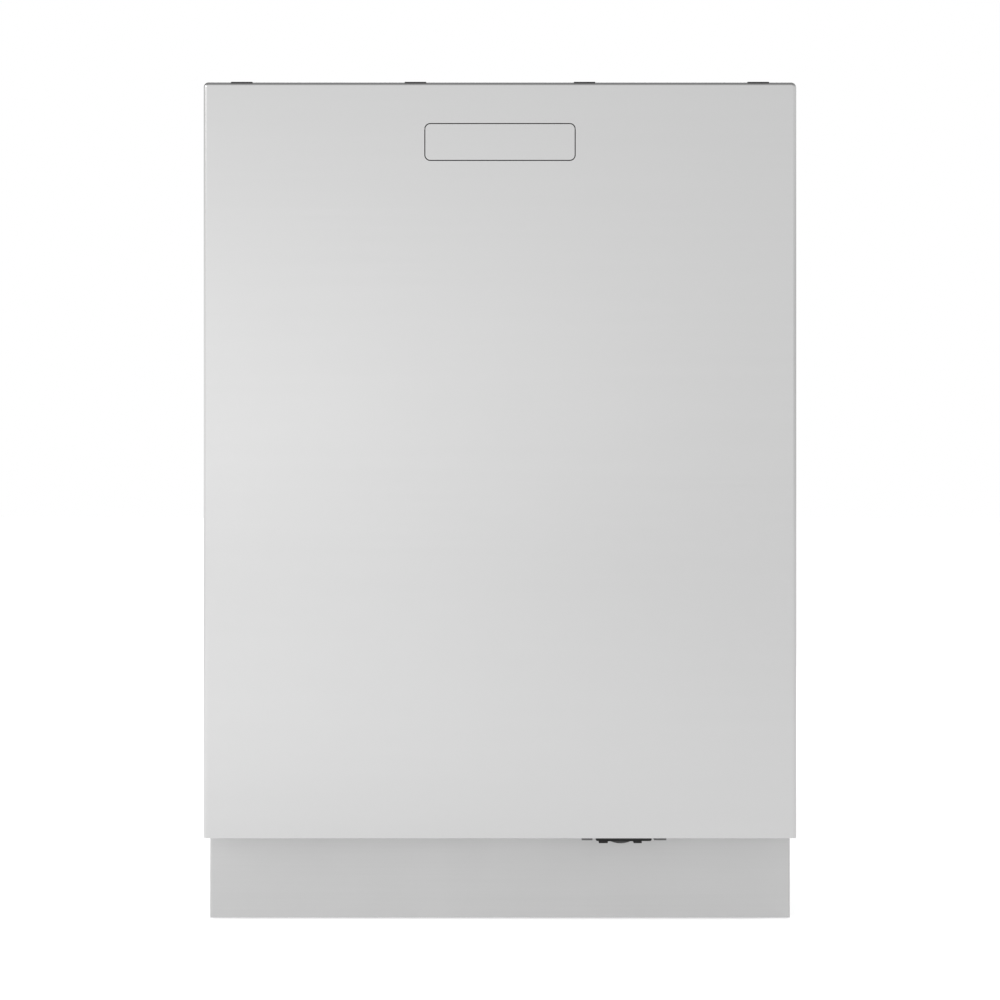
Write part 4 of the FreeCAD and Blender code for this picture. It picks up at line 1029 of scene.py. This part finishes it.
# The door mirrors the sky above the camera's height and the floor below it. Four numbers are a smooth ramp
# over the direction's x or z: where it starts, where it ends, and its values there.
SKY_SIDES = (1.50, 0.54)            # brightness at the left and at the right
SKY_NARROWS = (0.09, 0.15, 1.0, 0.4)    # higher up, the change from side to side is slower
SKY_FADE = (0.0, 0.75, 1.0, 0.32)   # dimmer towards the zenith
SKY_FAR_LEFT = (-0.52, -0.24, 0.64, 1.0)    # what the rounded edges of the door mirror
SKY_FAR_RIGHT = (0.36, 0.62, 1.0, 1.25)
SKY_WINDOW = 0.24                   # added by a soft bright patch at eye height, on the left
WINDOW_SIDES = (-0.30, 0.16)        # it fades out between these, from left to right
WINDOW_EDGE = (0.05, 0.135)         # and between these distances above and below its middle
WINDOW_DROP = 0.01                  # from the camera's height down to its middle
FLOOR_RADIUS = 60.0
FLOOR_GLOW = 0.497                  # emission of the paper under the machine
# painted light: the paper's glow is stronger at the left and weaker at the right, as if lit from the left,
# and stronger towards the camera
GLOW_SIDES = 0.08                   # more at the left, less at the right
GLOW_FAR = 0.07                     # more towards the camera
GLOW_SEEN = 0.22                    # more where the camera sees it, so that it stays white


def studio():
    """The camera square to the door, a white room, three soft lamps and a sheet of paper for the floor, whose
    glow is partly painted light.
    """
    camera_data = bpy.data.cameras.new("camera")
    camera_data.lens = LENS
    camera_data.sensor_width = 36.0
    camera_data.clip_end = 60.0
    camera = placed("camera", camera_data)
    camera.location = (0.0, DOOR_FRONT - CAMERA_DISTANCE, CAMERA_HEIGHT)
    camera.rotation_euler = (math.radians(90), 0, 0)
    bpy.context.scene.camera = camera

    world = bpy.data.worlds.new("studio")
    world.use_nodes = True
    bpy.context.scene.world = world
    sky = Graph(world.node_tree)
    side, _, up = sky.split(sky.node("TexCoord").outputs["Generated"])

    def ramp(value, *numbers):
        return sky.remap(value, *numbers, interpolation_type="SMOOTHSTEP")

    across = sky.maths("MULTIPLY", side, ramp(up, *SKY_NARROWS))
    room = sky.maths("MULTIPLY", ramp(across, -0.9, 0.9, *SKY_SIDES), ramp(up, *SKY_FADE))
    from_middle = sky.maths("ABSOLUTE", sky.maths("ADD", up, WINDOW_DROP))
    window = sky.maths("MULTIPLY", ramp(across, *WINDOW_SIDES, SKY_WINDOW, 0.0),
                       ramp(from_middle, *WINDOW_EDGE, 1.0, 0.0))
    far = sky.maths("MULTIPLY", ramp(side, *SKY_FAR_LEFT), ramp(side, *SKY_FAR_RIGHT))
    reflected, backdrop = sky.tree.nodes["Background"], sky.node("Background")
    for background in (reflected, backdrop):
        background.inputs["Color"].default_value = WHITE
    sky.link(sky.maths("MULTIPLY", sky.maths("ADD", room, window), far), reflected.inputs["Strength"])
    chosen = sky.node("MixShader")
    sky.feed(chosen.inputs, (sky.node("LightPath").outputs["Is Camera Ray"],
                             reflected.outputs["Background"], backdrop.outputs["Background"]))
    sky.link(chosen.outputs["Shader"], sky.tree.nodes["World Output"].inputs["Surface"])

    def area(name, place, target, size, watts):
        light = bpy.data.lights.new(name, "AREA")
        light.shape = "RECTANGLE"
        light.size, light.size_y = size
        light.energy = watts
        lamp = placed(name, light)
        lamp.location = place
        lamp.rotation_euler = (Vector(target) - Vector(place)).to_track_quat("-Z", "Y").to_euler()

    area("key", (-3.2, -3.0, 2.5), (0, -0.3, 0.45), (2.0, 1.6), 30.0)
    area("pool", (-2.0, -3.4, 1.6), (-1.0, -3.2, 0.0), (1.4, 1.4), 5.0)
    area("back", (0.8, 2.8, 2.6), (0, 0.2, 0.4), (3.0, 2.2), 22.0)

    floor = bpy.data.meshes.new("floor")
    rim = [(FLOOR_RADIUS * cosine, FLOOR_RADIUS * sine, 0.0) for cosine, sine, _ in helix(1, 96)][:-1]
    floor.from_pydata(rim, [], [range(len(rim))])
    paper = Paint("paper", 0.9)
    paper.colour(paper.mix(paper.noise(2.0), (0.90, 0.90, 0.90), (0.93, 0.93, 0.93)))
    paper.shader.inputs["Emission Color"].default_value = WHITE
    # painted light: the floor's glow is made stronger at the left and towards the camera
    x, y, _ = paper.split(paper.place)
    side_light_painted = paper.remap(x, -0.8, 0.8, GLOW_SIDES, -GLOW_SIDES)
    near_light_painted = paper.remap(y, -6.0, -1.0, FLOOR_GLOW + GLOW_FAR, FLOOR_GLOW)
    seen = paper.node("LightPath").outputs["Is Camera Ray"]
    floor_glow_painted = paper.maths("MULTIPLY_ADD", seen, GLOW_SEEN, paper.maths("ADD", side_light_painted, near_light_painted))
    paper.link(floor_glow_painted, paper.shader.inputs["Emission Strength"])
    floor.materials.append(paper.material)
    stage = placed("floor", floor)
    bpy.context.scene.view_settings.view_transform = "Standard"


studio()
